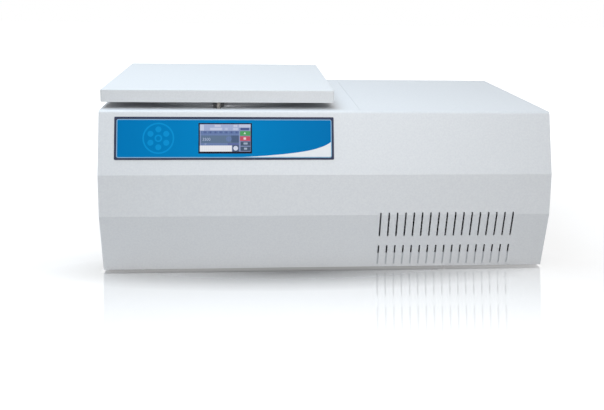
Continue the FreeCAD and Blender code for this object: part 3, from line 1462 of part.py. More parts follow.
def fan_motor():
    start = size.shroud_rear_y + size.fan_depth + size.fan_blade_thickness * 2
    case = along_y("fan_motor_case", size.fan_motor_radius, start, size.fan_motor_length, size.fan_x, size.fan_z)
    bore = along_y("fan_motor_bore", size.fan_shaft_radius + size.shaft_play, start - size.tool_overrun,
                   size.fan_bore_depth, size.fan_x, size.fan_z)
    node(cut("fan_motor", case, bore), "fan_motor")


def fan_bracket():
    """Three spokes that carry the fan motor from the shroud's back."""
    bracket = body("fan_bracket")
    depth = size.fan_depth + size.fan_blade_thickness * 2
    ring = size.fan_motor_radius + size.fan_spoke_width
    reach = size.fan_radius + size.fan_tip_gap + size.shroud_sheet + size.fan_spoke_width
    half = size.fan_spoke_width / 2
    sheet_width = size.bracket_sheet
    pad(circle(sketch_on(bracket, "XY_Plane", depth), 0, 0, ring), sheet_width)
    spoke = pad(rectangle(sketch_on(bracket, "XY_Plane", depth), 0, -half, reach, half), sheet_width)
    foot_start = reach - size.fan_spoke_width + size.clearance
    foot = pad(rectangle(sketch_on(bracket, "XY_Plane"), foot_start, -half, reach, half), depth + sheet_width)
    repeat_around(bracket, [spoke, foot], 3)
    pocket(circle(sketch_on(bracket, "XY_Plane"), 0, 0, size.fan_motor_radius + size.fit_gap))
    at_fan(bracket, size.shroud_rear_y)


def compressor():
    """Welded hermetic shell with a belt seam, on a square foot plate, with its terminal box."""
    shell = body("compressor")
    radius = size.compressor_radius
    low = size.compressor_low_z
    foot = size.compressor_foot / 2
    corner = size.compressor_round
    high = low + size.compressor_height
    bead = size.compressor_seam
    revolve(polygon(sketch_on(shell, "XZ_Plane"), [
        (0, low), (radius, low), (radius, size.stub_z + bead * 3), (radius + bead, size.stub_z + bead * 3),
        (radius + bead, size.stub_z + bead * 4), (radius, size.stub_z + bead * 4), (radius, high), (0, high)]))
    soften(shell, corner, ring_edge(radius, high))
    soften(shell, corner, ring_edge(radius, low))
    pad(rectangle(sketch_on(shell, "XY_Plane", low), -foot, -foot, foot, foot), size.bracket_sheet)
    half = size.terminal_width / 2
    box = rectangle(sketch_on(shell, "YZ_Plane", size.terminal_from_axis), -half, low + corner, half,
                    low + corner + size.terminal_height)
    pad(box, size.terminal_depth)
    place(shell, size.compressor_x, size.compressor_y)


def compressor_grommets():
    grommets = []
    reach = size.compressor_foot / 2 - size.grommet_radius - size.grommet_from_edge
    for x in (-1, 1):
        for y in (-1, 1):
            grommets.append(cylinder("grommet", size.grommet_radius, size.compressor_lift,
                                     size.compressor_x + reach * x, size.compressor_y + reach * y, size.floor_z))
    group("compressor_grommets", *grommets)


def filter_drier():
    """Copper filter drier with spun-down ends, upright in the liquid line."""
    drier = body("filter_drier")
    radius = size.drier_radius
    neck = size.coil_radius
    low = size.drier_low_z
    high = low + size.drier_length
    revolve(polygon(sketch_on(drier, "XZ_Plane"), [
        (0, low), (neck, low), (radius, low + radius), (radius, high - radius), (neck, high), (0, high)]))
    place(drier, size.condenser_left_x + size.header_radius, size.chamber_y)


def refrigerant_pipes():
    """Suction, liquid, condenser and discharge lines, each bent from one tube."""
    coil_x = size.lid_x + coil_track_radius()
    coil_low = size.bowl_floor_z + size.coil_low
    coil_high = coil_low + size.coil_pitch * (size.coil_turns - 1)
    y = size.chamber_y
    suction_x, suction_y = suction_start()
    bend = size.pipe_bend_radius
    header_x = size.condenser_left_x + size.header_radius
    far_header_x = size.condenser_right_x - size.header_radius
    inverter_right = size.divider_x + size.sheet_metal + size.inverter_width
    stub_x = size.compressor_x - size.compressor_radius
    drop_x = (inverter_right + stub_x) / 2
    above = size.coil_radius + size.soft_gap
    over = size.condenser_top_z + size.pipe_over_condenser
    start_y = size.compressor_y - size.compressor_radius
    turn_y = start_y - size.discharge_reach
    suction = tube_along("suction_pipe", size.coil_radius, [
        (suction_x, suction_y, coil_high + above), (suction_x, suction_y, size.suction_z),
        (drop_x, suction_y, size.suction_z),
        (drop_x, size.compressor_y, size.suction_z), (drop_x, size.compressor_y, size.stub_z),
        (stub_x, size.compressor_y, size.stub_z)], bend)
    liquid = tube_along("liquid_pipe", size.coil_radius, [
        (coil_x, y, coil_low - above), (coil_x, y, size.liquid_z), (header_x, y, size.liquid_z),
        (header_x, y, size.drier_low_z)], bend)
    condenser_line = tube_along("condenser_line", size.coil_radius, [
        (header_x, y, size.drier_low_z + size.drier_length), (header_x, y, over),
        (header_x, size.condenser_y, over), (header_x, size.condenser_y, size.condenser_top_z)], bend)
    discharge = tube_along("discharge_pipe", size.pipe_radius, [
        (size.compressor_x, start_y, size.stub_z), (size.compressor_x, turn_y, size.stub_z),
        (size.compressor_x, turn_y, over), (far_header_x, turn_y, over),
        (far_header_x, size.condenser_y, over), (far_header_x, size.condenser_y, size.condenser_top_z)], bend)
    group("refrigerant_pipes", suction, liquid, condenser_line, discharge)


def inverter_drive():
    """Motor drive on the divider: a closed case with a row of cooling fins."""
    drive = body("inverter_drive")
    left = size.divider_x + size.sheet_metal
    rear = size.inner_rear_y - size.inverter_lift
    front = rear - size.inverter_depth
    low = size.floor_z + size.inverter_lift
    fin = size.inverter_fin_reach
    case = rectangle(sketch_on(drive, "XY_Plane", low), left, front, left + size.inverter_width - fin, rear)
    pad(case, size.inverter_height)
    pitch = size.inverter_depth / size.inverter_fins
    row = sketch_on(drive, "YZ_Plane", left + size.inverter_width - fin)
    rectangle(row, front + pitch / 4, low + fin / 2, front + pitch / 2, low + size.inverter_height - fin / 2)
    first = pad(row, fin)
    repeat_along(drive, [first], row, size.inverter_fins, pitch)


# ---------------------------------------------------------------- assembly
def build():
    front_panel()
    side_panel("left_side_panel", size.left_x)
    side_panel("right_side_panel", size.right_x - size.sheet_metal)
    rear_panel()
    chamber_deck()
    bay_cover()
    base_pan()
    bay_divider()
    rubber_feet()
    casing_screws()
    control_overlay()
    touch_display()
    control_board()
    board_standoffs()
    mains_inlet()
    power_switch()
    lid_shell()
    lid_liner()
    lid_insulation()
    lid_striker()
    striker_guide()
    hinges()
    for side, way in (("left", -1), ("right", 1)):
        x = size.lid_x + size.spring_half_spacing * way
        spring_tube(f"gas_spring_tube_{side}", x)
        spring_rod(f"gas_spring_rod_{side}", x)
    spring_brackets()
    chamber_bowl()
    chamber_gasket()
    evaporator_coil()
    insulation_jacket()
    guard_ring()
    vibration_mounts()
    motor_plate()
    drive_motor()
    shaft_boot()
    drive_spindle()
    rotor_head()
    rotor_nut()
    for number in (1, 2, 3, 4):
        bucket(number)
    lock_housing()
    lock_hook()
    lock_motor()
    condenser()
    fan_shroud()
    cooling_fan()
    fan_motor()
    fan_bracket()
    compressor()
    compressor_grommets()
    filter_drier()
    refrigerant_pipes()
    inverter_drive()


def check():
    """Stop if anything failed to build or is not a sound solid."""
    for item in doc.Objects:
        if "Invalid" in item.State or "Error" in item.State:
            raise RuntimeError(f"{item.Label} failed: {item.State}")
    for part in nodes:
        if part.Shape.isNull() or not part.Shape.isValid() or not part.Shape.Solids:
            raise RuntimeError(f"{part.Label} has no sound shape")


def write_parts():
    os.makedirs("parts", exist_ok=True)
    for part in nodes:
        part.Shape.exportStep(os.path.join("parts", f"{part.Label}.step"))
    print(len(nodes), "sub-parts written")


build()
doc.recompute()
check()
write_parts()
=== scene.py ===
"""Finishes, printed film, lit display, marks and studio of a wide refrigerated bench centrifuge."""

import math

import bmesh
import bpy
from bpy.props import FloatProperty, FloatVectorProperty, PointerProperty
from mathutils import Matrix, Vector


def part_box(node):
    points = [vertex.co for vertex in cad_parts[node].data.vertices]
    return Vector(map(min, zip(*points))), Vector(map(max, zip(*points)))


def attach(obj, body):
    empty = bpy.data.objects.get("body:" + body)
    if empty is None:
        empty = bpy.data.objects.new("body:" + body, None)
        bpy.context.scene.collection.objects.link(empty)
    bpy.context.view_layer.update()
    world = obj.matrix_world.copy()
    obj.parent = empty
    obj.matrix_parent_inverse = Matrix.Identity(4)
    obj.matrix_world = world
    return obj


bl_info = {
    "name": "Bench Centrifuge Finishes",
    "version": (1, 0, 0),
    "blender": (4, 5, 0),
    "location": "View3D > Sidebar > Centrifuge",
    "description": "Paint, metals, printed film, lit display and studio of a bench centrifuge",
    "category": "Object",
}

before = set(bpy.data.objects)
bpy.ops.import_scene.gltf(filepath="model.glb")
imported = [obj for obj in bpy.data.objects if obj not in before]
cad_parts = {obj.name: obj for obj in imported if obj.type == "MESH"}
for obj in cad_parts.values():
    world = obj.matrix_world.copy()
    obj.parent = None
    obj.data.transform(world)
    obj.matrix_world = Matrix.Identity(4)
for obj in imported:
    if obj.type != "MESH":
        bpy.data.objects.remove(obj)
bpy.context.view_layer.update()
MM = 0.001
INK = 0.05 * MM  # height of one printed layer over the last, enough to keep two faces apart
BUCKETS = 4
WHITE = (1.0, 1.0, 1.0, 1.0)
PLASTIC_IOR = 1.5  # also that of paint, ink, rubber and glass
# parts of a noise's range over which one tone or gloss turns into the other
NARROW, WIDE, UPPER = (0.35, 0.65), (0.3, 0.7), (0.4, 0.65)


def srgb(hex_code):
    """Linear RGBA of an sRGB hex colour such as #E8EAEC."""
    channels = [int(hex_code[i:i + 2], 16) / 255 for i in (1, 3, 5)]
    linear = [c / 12.92 if c <= 0.04045 else ((c + 0.055) / 1.055) ** 2.4 for c in channels]
    return (*linear, 1.0)


def colour(name, description, hex_code):
    return FloatVectorProperty(name=name, description=description, default=srgb(hex_code),
                               subtype="COLOR", size=4, min=0, max=1)


def length(name, description, millimetres):
    return FloatProperty(name=name, description=description, default=millimetres * MM,
                         min=0, unit="LENGTH")


def position(name, description, metres):
    return FloatProperty(name=name, description=description, default=metres, unit="LENGTH")


def turn(name, description, degrees):
    return FloatProperty(name=name, description=description, default=math.radians(degrees),
                         subtype="ANGLE")


def level(name, description, value):
    return FloatProperty(name=name, description=description, default=value, min=0)


# ---------------------------------------------------------------- settings
class CentrifugePaint(bpy.types.PropertyGroup):
    """Powder coat of the cabinet and the lid."""

    cabinet_light: colour("Cabinet", "Lighter tone of the cabinet's powder coat", "#E6E8EA")
    cabinet_dark: colour("Cabinet shade", "Darker tone of the cabinet's powder coat", "#E1E3E6")
    lid_light: colour("Lid", "Lighter tone of the lid's powder coat", "#E6E8EA")
    lid_dark: colour("Lid shade", "Darker tone of the lid's powder coat", "#E2E4E6")
    speckle: length("Speckle", "Width of the coat's visible speckle", 3.2)
    peel: length("Orange peel", "Width of the ripples in the coat", 1.4)


class CentrifugeFilm(bpy.types.PropertyGroup):
    """The printed film that carries the display."""

    border: colour("Border", "Dark border of the film", "#42475D")
    keyline: colour("Keyline", "Fine line inside the border", "#8FBAD8")
    field_left: colour("Field left", "Blue of the field at its left end", "#007DBE")
    field_middle: colour("Field middle", "Blue of the field at its middle", "#0088C8")
    field_right: colour("Field right", "Blue of the field at its right end", "#0075B5")
    motif: colour("Motif", "Rotor motif, a tone lighter than the field", "#0B96D6")
    sweep: colour("Sweep", "White area under the field's curved edge", "#F0F2F4")
    border_side: length("Side border", "Width of the border at the film's ends", 5.6)
    border_top: length("Top border", "Width of the border along the film's top", 5.9)
    border_foot: length("Foot border", "Width of the border along the film's foot", 5.2)
    keyline_width: length("Keyline width", "Width of the fine line", 1.5)
    corner: length("Corner", "Corner radius of the field", 2)
    sweep_height: length("Sweep height", "Height of the white area at the film's right end", 28)
    sweep_length: length("Sweep length", "Length of the white area along the film's foot", 165)
    motif_from_left: length("Motif place", "Motif's centre from the film's left end", 80)
    motif_radius: length("Motif radius", "Outer radius of the motif", 29)


class CentrifugeDisplay(bpy.types.PropertyGroup):
    """The lit picture behind the display's cover glass."""

    side_margin: length("Side margin", "Dark cover glass left and right of the picture", 2.5)
    top_margin: length("Top margin", "Dark cover glass above the picture", 2.2)
    foot_margin: length("Foot margin", "Dark cover glass under the picture", 3.8)
    glow: level("Glow", "Strength of the backlight", 0.85)


class CentrifugeMarks(bpy.types.PropertyGroup):
    """Plain marks and figures."""

    light: colour("Light mark", "Ink of the marks on the power rocker", "#E4E6E8")
    dark: colour("Dark mark", "Tone of the etched figures on the rotor", "#3B3E44")
    switch_height: length("Switch marks", "Height of the marks on the power rocker", 5)
    rotor_height: length("Rotor figures", "Height of the figures on the rotor's arms", 15)
    rotor_reach: length("Figures' place", "Distance of the figures from the rotor's axis", 55)


class CentrifugeStudio(bpy.types.PropertyGroup):
    """Camera, lamps and floor."""

    camera_x: position("Camera X", "Camera to the right", -0.14865)
    camera_y: position("Camera Y", "Camera to the rear", -2.01794)
    camera_z: position("Camera Z", "Camera height", 0.56905)
    yaw: turn("Yaw", "Camera turned to the right", 5.80)
    pitch: turn("Pitch", "Camera turned down", 11.39)
    roll: turn("Roll", "Camera rolled", 1.03)
    lens: level("Lens", "Focal length in millimetres", 56.98)
    shift_x: FloatProperty(name="Shift X", description="Sideways lens shift", default=-0.0712)
    shift_y: FloatProperty(name="Shift Y", description="Upward lens shift", default=-0.0692)
    floor: colour("Floor", "Colour of the table top", "#BEBEBE")
    floor_glow: level("Floor glow", "Light the table top adds for the eye beside the casing", 0.56)
    far_glow: level("Far glow", "Light the table top adds for the eye where it is whitest", 1.05)
    glow_reach: length("Glow reach", "How far from the casing the table top is whitest", 1200)
    mirror: level("Mirror", "Share of gloss beside the casing", 0.5)
    mirror_reach: length("Mirror reach", "How far from the casing the gloss dies away", 540)
    air: level("Air", "Strength of the even light from all round", 0.38)
    key_power: level("Key", "Power of the lamp before the front", 2.5)
    top_power: level("Top", "Power of the lamp above the lid", 19)
    fill_power: level("Fill", "Power of the low lamp before the front", 6)
    round_power: level("Round", "Power of the lamps beside and behind", 8)


# ---------------------------------------------------------------- nodes
def add_node(tree, kind, settings=None, inputs=None):
    """Adds one node with its settings; an input is a value or the socket that feeds it."""
    node = tree.nodes.new(kind)
    for name, value in (settings or {}).items():
        setattr(node, name, value)
    for socket, value in (inputs or {}).items():
        if isinstance(value, bpy.types.NodeSocket):
            tree.links.new(value, node.inputs[socket])
        else:
            node.inputs[socket].default_value = value
    return node


def new_tree(name):
    """A named material with an empty node tree, and its object coordinates."""
    material = bpy.data.materials.new(name)
    material.use_nodes = True
    tree = material.node_tree
    tree.nodes.clear()
    coordinates = add_node(tree, "ShaderNodeTexCoord").outputs["Object"]
    return material, tree, coordinates


def close_tree(tree, shader):
    add_node(tree, "ShaderNodeOutputMaterial", inputs={"Surface": shader.outputs[0]})


def blend_tones(tree, factor, first, second):
    """A colour between two tones, by a factor from 0 to 1."""
    mix = add_node(tree, "ShaderNodeMix", {"data_type": "RGBA"}, {0: factor, 6: first, 7: second})
    return mix.outputs[2]


def remap(tree, value, low, high, to_low, to_high):
    node = add_node(tree, "ShaderNodeMapRange", inputs={
        0: value, 1: low, 2: high, 3: to_low, 4: to_high})
    return node.outputs[0]


def calculate(tree, operation, first, second=0.0):
    node = add_node(tree, "ShaderNodeMath", {"operation": operation}, {0: first, 1: second})
    return node.outputs[0]


def noise(tree, vector, width, detail=2.0):
    """Noise whose spots are about so wide, in metres."""
    node = add_node(tree, "ShaderNodeTexNoise", inputs={
        "Vector": vector, "Scale": 1 / width, "Detail": detail})
    return node.outputs[0]


def ripple(tree, height, depth, share=1.0):
    """A bump normal from a height of 0 to 1, so many metres deep, of which a share shows."""
    node = add_node(tree, "ShaderNodeBump", inputs={
        "Height": height, "Distance": depth, "Strength": share})
    return node.outputs[0]


def stripes(tree, coordinates, spacing):
    """Upright bands so far apart, in metres; the wave's own unit is a twentieth of a radian."""
    node = add_node(tree, "ShaderNodeTexWave", {"bands_direction": "X"}, {
        "Vector": coordinates, "Scale": 2 * math.pi / (20 * spacing)})
    return node.outputs[0]


def round_about(tree, coordinates, axis_x, axis_y):
    """Coordinates whose X is the distance from an upright axis and whose Z is the height."""
    centred = add_node(tree, "ShaderNodeMapping", inputs={
        0: coordinates, "Location": (-axis_x, -axis_y, 0)})
    parts = add_node(tree, "ShaderNodeSeparateXYZ", inputs={0: centred.outputs[0]})
    flat = add_node(tree, "ShaderNodeCombineXYZ", inputs={0: parts.outputs[0], 1: parts.outputs[1]})
    reach = add_node(tree, "ShaderNodeVectorMath", {"operation": "LENGTH"}, {0: flat.outputs[0]})
    made = add_node(tree, "ShaderNodeCombineXYZ", inputs={
        0: reach.outputs["Value"], 2: parts.outputs[2]})
    return made.outputs[0]


# ---------------------------------------------------------------- finishes
def surface(material, inputs):
    """Ends a material in one shader with these inputs, and returns it."""
    tree = material.node_tree
    close_tree(tree, add_node(tree, "ShaderNodeBsdfPrincipled", inputs=inputs))
    return material


def powder_coat(name, light, dark, speckle, peel):
    """Polyester powder coat baked on steel: satin, finely speckled, with a slight ripple."""
    material, tree, coordinates = new_tree(name)
    satin, dull = 0.42, 0.52
    spots = noise(tree, coordinates, speckle, 3)
    tone = blend_tones(tree, remap(tree, spots, *NARROW, 0, 1), dark, light)
    sheen = remap(tree, noise(tree, coordinates, speckle * 2), *WIDE, satin, dull)
    normal = ripple(tree, noise(tree, coordinates, peel), depth=0.06 * MM, share=0.35)
    return surface(material, {
        "Base Color": tone, "Roughness": sheen, "IOR": PLASTIC_IOR, "Normal": normal})


def lined_metal(material, lines, light, dark, roughness, spread, normal):
    """Bare metal whose tone and gloss follow its lines; the gloss by a spread either way."""
    tree = material.node_tree
    tone = blend_tones(tree, remap(tree, lines, *WIDE, 0, 1), dark, light)
    sheen = remap(tree, lines, *WIDE, roughness - spread, roughness + spread)
    return surface(material, {
        "Base Color": tone, "Metallic": 1.0, "Roughness": sheen, "Normal": normal})


def brushed_steel(name, light, dark, roughness, grain):
    """Rolled steel sheet, stainless or zinc plated: long fine lines that catch the light."""
    material, tree, coordinates = new_tree(name)
    stretch = 0.03
    drawn = add_node(tree, "ShaderNodeMapping", inputs={0: coordinates, "Scale": (stretch, 1, 1)})
    lines = noise(tree, drawn.outputs[0], grain, 4)
    normal = ripple(tree, lines, depth=0.02 * MM, share=0.2)
    return lined_metal(material, lines, light, dark, roughness, spread=0.06, normal=normal)


def turned_metal(name, light, dark, roughness, pitch, axis):
    """Metal spun or turned on a lathe: rings about its upright axis."""
    material, tree, coordinates = new_tree(name)
    rings = noise(tree, round_about(tree, coordinates, axis.x, axis.y), pitch, 3)
    normal = ripple(tree, rings, depth=0.04 * MM, share=0.5)
    return lined_metal(material, rings, light, dark, roughness, spread=0.05, normal=normal)


def drawn_metal(name, light, dark, roughness, stain):
    """Drawn tube or ground rod: smooth metal with faint cloudy tarnish."""
    material, tree, coordinates = new_tree(name)
    cloud = noise(tree, coordinates, stain, 4)
    tone = blend_tones(tree, remap(tree, cloud, *UPPER, 0, 1), light, dark)
    sheen = remap(tree, cloud, *WIDE, roughness * 0.8, roughness * 1.3)
    return surface(material, {"Base Color": tone, "Metallic": 1.0, "Roughness": sheen})


def moulded(name, light, dark, roughness, texture, depth):
    """Moulded plastic, rubber or cast paint: one tone with a fine moulded or cast texture."""
    material, tree, coordinates = new_tree(name)
    spread = 0.05
    grain = noise(tree, coordinates, texture, 3)
    tone = blend_tones(tree, remap(tree, grain, *NARROW, 0, 1), dark, light)
    sheen = remap(tree, grain, *WIDE, roughness - spread, roughness + spread)
    return surface(material, {
        "Base Color": tone, "Roughness": sheen, "IOR": PLASTIC_IOR,
        "Normal": ripple(tree, grain, depth)})


def foam(name, light, dark, cell):
    """Closed-cell polyethylene foam: pale, matt, with visible cells."""
    material, tree, coordinates = new_tree(name)
    cells = add_node(tree, "ShaderNodeTexVoronoi", inputs={
        "Vector": coordinates, "Scale": 1 / cell}).outputs[0]
    tone = blend_tones(tree, cells, light, dark)
    return surface(material, {
        "Base Color": tone, "Roughness": 0.9, "IOR": PLASTIC_IOR,
        "Normal": ripple(tree, cells, depth=0.4 * MM)})


def finned(name, crest, gap_painted_shade, pitch):
    """Thin aluminium fins, drawn coarser than their real 2 mm: bright edges, and painted shade in
    the gaps between them.
    """
    material, tree, coordinates = new_tree(name)
    painted_shade_ends, crest_starts = 0.35, 0.6
    bands = stripes(tree, coordinates, pitch)
    tone = blend_tones(tree, remap(tree, bands, painted_shade_ends, crest_starts, 0, 1), gap_painted_shade, crest)
    return surface(material, {
        "Base Color": tone, "Metallic": 0.2, "Roughness": 0.45,
        "Normal": ripple(tree, bands, depth=0.5 * MM)})


def solder_mask(name, mask, copper, pitch):
    """Glass-fibre circuit board under green solder mask, with the tracks showing as paler lines."""
    material, tree, coordinates = new_tree(name)
    tracks = add_node(tree, "ShaderNodeTexBrick", inputs={
        "Vector": coordinates, "Color1": mask, "Color2": mask, "Mortar": copper, "Scale": 1 / pitch,
        "Mortar Size": 0.03}).outputs[0]
    return surface(material, {
        "Base Color": tracks, "Roughness": 0.3, "IOR": PLASTIC_IOR})


def printed(name, inks, low_x=0.0, high_x=1.0):
    """Ink printed behind polyester film: satin, a hair of grain. Inks blend from left to right."""
    material, tree, coordinates = new_tree(name)
    satin, dull, gloss = 0.45, 0.55, 0.03
    along = add_node(tree, "ShaderNodeSeparateXYZ", inputs={0: coordinates}).outputs[0]
    tone = inks[0]
    stretch = (high_x - low_x) / max(len(inks) - 1, 1)
    for number, ink in enumerate(inks[1:]):
        start = low_x + stretch * number
        tone = blend_tones(tree, remap(tree, along, start, start + stretch, 0, 1), tone, ink)
    grain = noise(tree, coordinates, 1.2 * MM)
    return surface(material, {
        "Base Color": tone, "Roughness": remap(tree, grain, *WIDE, satin, dull), "IOR": PLASTIC_IOR,
        "Specular IOR Level": gloss, "Normal": ripple(tree, grain, depth=0.03 * MM, share=0.4)})


def cover_glass(name, tint):
    """Chemically hardened cover glass over black ink: dark and glossy, with faint finger smears."""
    material, tree, coordinates = new_tree(name)
    starts, full = 0.4, 0.7  # of the noise's range
    clean, smeared = 0.06, 0.16
    smear = remap(tree, noise(tree, coordinates, 12 * MM, 3), starts, full, clean, smeared)
    return surface(material, {
        "Base Color": tint, "Roughness": smear, "IOR": PLASTIC_IOR, "Specular IOR Level": 0.15})


def lit_picture(name, glow):
    """Backlit liquid crystal: each tile's own colour, its cells drawn coarser, as faint bands."""
    material, tree, coordinates = new_tree(name)
    most_dimmed = 0.06
    tiles = add_node(tree, "ShaderNodeVertexColor", {"layer_name": "tile"}).outputs[0]
    bands = remap(tree, stripes(tree, coordinates, 3.8 * MM), 0, 1, most_dimmed, 0)
    dimmed = add_node(tree, "ShaderNodeMix", {"data_type": "RGBA", "blend_type": "MULTIPLY"}, {
        0: bands, 6: tiles, 7: srgb("#808080")}).outputs[2]
    return surface(material, {
        "Base Color": srgb("#0C0D14"), "Roughness": 0.25, "IOR": PLASTIC_IOR,
        "Specular IOR Level": 0.2, "Emission Color": dimmed, "Emission Strength": glow})


def dress(material, *names):
    """Gives CAD nodes one material."""
    for name in names:
        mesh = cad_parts[name].data
        mesh.materials.clear()
        mesh.materials.append(material)


# ---------------------------------------------------------------- shapes
def new_piece(name, shape, body, slot, *materials):
    """Turns a bmesh into a piece that rides on a body and takes the given materials. The slot is
    not used.
    """
    mesh = bpy.data.meshes.new(name)
    shape.to_mesh(mesh)
    shape.free()
    for material in materials:
        mesh.materials.append(material)
    piece = bpy.data.objects.new(name, mesh)
    bpy.context.scene.collection.objects.link(piece)
    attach(piece, body)
    return piece


def film_frame():
    """Places drawings on the film: X right, Y up its slope, Z outwards, from its top left."""
    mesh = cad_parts["control_overlay"].data
    front = min(mesh.polygons, key=lambda polygon: polygon.area * polygon.normal.y)
    outward = front.normal
    across = Vector((1, 0, 0))
    up = outward.cross(across).normalized()
    turned = Matrix((across, up, outward)).transposed().to_4x4()
    # the highest corner, and of those the leftmost
    top_left = max((vertex.co for vertex in mesh.vertices),
                   key=lambda point: point.z - point.x * MM)
    low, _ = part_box("control_overlay")
    return Matrix.Translation((low.x, top_left.y, top_left.z)) @ turned


def face_met(node, start, way, across):
    """Places drawings where a line meets a node: X across, Y up the face, Z out of it."""
    met, point, outward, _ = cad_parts[node].ray_cast(start, way)
    if not met:
        raise RuntimeError(f"no face of {node} lies that way")
    up = outward.cross(across).normalized()
    turned = Matrix((up.cross(outward), up, outward)).transposed().to_4x4()
    return Matrix.Translation(point) @ turned


def face_edges(node, place):
    """Left, top, right and foot of a node's front face, measured on the film, the y downwards."""
    away = place.inverted()
    points = [away @ vertex.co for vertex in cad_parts[node].data.vertices]
    front = max(point.z for point in points)
    face = [point for point in points if point.z > front - 0.1 * MM]
    across = [point.x for point in face]
    down = [-point.y for point in face]
    return min(across), min(down), max(across), max(down)


def add_plate(shape, left, top, right, foot, lift, corner=0.0, material=0):
    """A flat plate between four edges, so far off the film; y runs downwards from the top."""
    middle = Matrix.Translation(((left + right) / 2, -(top + foot) / 2, lift))
    scale = Matrix.Diagonal((right - left, foot - top, 1, 1))
    made = bmesh.ops.create_grid(shape, x_segments=1, y_segments=1, size=0.5,
                                 matrix=middle @ scale)
    corners = made["verts"]
    faces = {face for vertex in corners for face in vertex.link_faces}
    if corner:
        rounded = bmesh.ops.bevel(shape, geom=corners, offset=corner, segments=5, profile=0.5,
                                  affect="VERTICES", material=-1)
        faces = {face for vertex in rounded["verts"] for face in vertex.link_faces}
    for face in faces:
        face.material_index = material
    return faces


def cut_window(shape, left, top, right, foot):
    """Cuts a window out of the flat plates drawn so far."""
    upright, level_line = (1, 0, 0), (0, 1, 0)
    edges = (((left, 0, 0), upright), ((right, 0, 0), upright),
             ((0, -top, 0), level_line), ((0, -foot, 0), level_line))
    for point, across in edges:
        parts = shape.verts[:] + shape.edges[:] + shape.faces[:]
        bmesh.ops.bisect_plane(shape, geom=parts, plane_co=point, plane_no=across)
    inside = []
    for face in shape.faces:
        centre = face.calc_center_median()
        if left < centre.x < right and top < -centre.y < foot:
            inside.append(face)
    bmesh.ops.delete(shape, geom=inside, context="FACES")


def add_disc(shape, x, y, radius, lift, material=0, segments=40):
    """A flat disc on the film; y runs downwards."""
    place = Matrix.Translation((x, -y, lift))
    made = bmesh.ops.create_circle(shape, cap_ends=True, segments=segments, radius=radius,
                                   matrix=place)
    faces = {face for vertex in made["verts"] for face in vertex.link_faces}
    for face in faces:
        face.material_index = material
    return faces


def add_ring(shape, x, y, radius, width, lift, material=0):
    """A flat ring on the film: a disc with its middle inset and taken out."""
    disc = list(add_disc(shape, x, y, radius, lift, material))
    bmesh.ops.inset_region(shape, faces=disc, thickness=width,
                           use_boundary=True, use_even_offset=True)
    bmesh.ops.delete(shape, geom=disc, context="FACES")


def flat_outline(points, lift):
    """A flat face inside points (x, y, handle in, handle out), or (x, y) at a corner."""
    curve = bpy.data.curves.new("outline", "CURVE")
    curve.dimensions = "2D"
    curve.fill_mode = "BOTH"
    curve.resolution_u = 16
    spline = curve.splines.new("BEZIER")
    spline.bezier_points.add(len(points) - 1)
    spline.use_cyclic_u = True
    for point, given in zip(spline.bezier_points, points):
        x, y, *handles = given
        point.co = (x, -y, 0)
        point.handle_left_type = point.handle_right_type = "FREE" if handles else "VECTOR"
        if handles:
            point.handle_left = (handles[0][0], -handles[0][1], 0)
            point.handle_right = (handles[1][0], -handles[1][1], 0)
    holder = bpy.data.objects.new("outline", curve)
    bpy.context.scene.collection.objects.link(holder)
    bpy.context.view_layer.update()
    mesh = bpy.data.meshes.new_from_object(holder)
    bpy.data.objects.remove(holder)
    mesh.transform(Matrix.Translation((0, 0, lift)))
    return mesh


def join_flat(shape, mesh):
    """Adds a flat mesh to a drawing and returns its faces."""
    known = set(shape.faces)
    shape.from_mesh(mesh)
    return [face for face in shape.faces if face not in known]


def add_shape(shape, other):
    """Adds one drawing to another and frees it."""
    mesh = bpy.data.meshes.new("part")
    other.to_mesh(mesh)
    other.free()
    shape.from_mesh(mesh)
    bpy.data.meshes.remove(mesh)


def figure_mesh(text, height):
    """Plain figures as a flat mesh, centred on the origin, so high."""
    size_over_height = 1.4
    curve = bpy.data.curves.new("figure", "FONT")
    curve.body = text
    curve.size = height * size_over_height
    curve.align_x = "CENTER"
    curve.align_y = "CENTER"
    holder = bpy.data.objects.new("figure", curve)
    bpy.context.scene.collection.objects.link(holder)
    bpy.context.view_layer.update()
    mesh = bpy.data.meshes.new_from_object(holder)
    bpy.data.objects.remove(holder)
    return mesh


# ---------------------------------------------------------------- operators: finishes of the solids
class CENTRIFUGE_OT_coat_sheets(bpy.types.Operator):
    """Powder coats the cabinet and the lid"""

    bl_idname = "centrifuge.coat_sheets"
    bl_label = "Coat Sheets"

    def execute(self, context):
        paint = context.scene.centrifuge_paint
        cabinet = powder_coat("powder_coat_cabinet", paint.cabinet_light, paint.cabinet_dark,
                              paint.speckle, paint.peel)
        dress(cabinet, "front_panel", "left_side_panel", "right_side_panel", "rear_panel",
              "chamber_deck", "bay_cover")
        lid = powder_coat("powder_coat_lid", paint.lid_light, paint.lid_dark,
                          paint.speckle, paint.peel)
        dress(lid, "lid_shell")
        return {"FINISHED"}


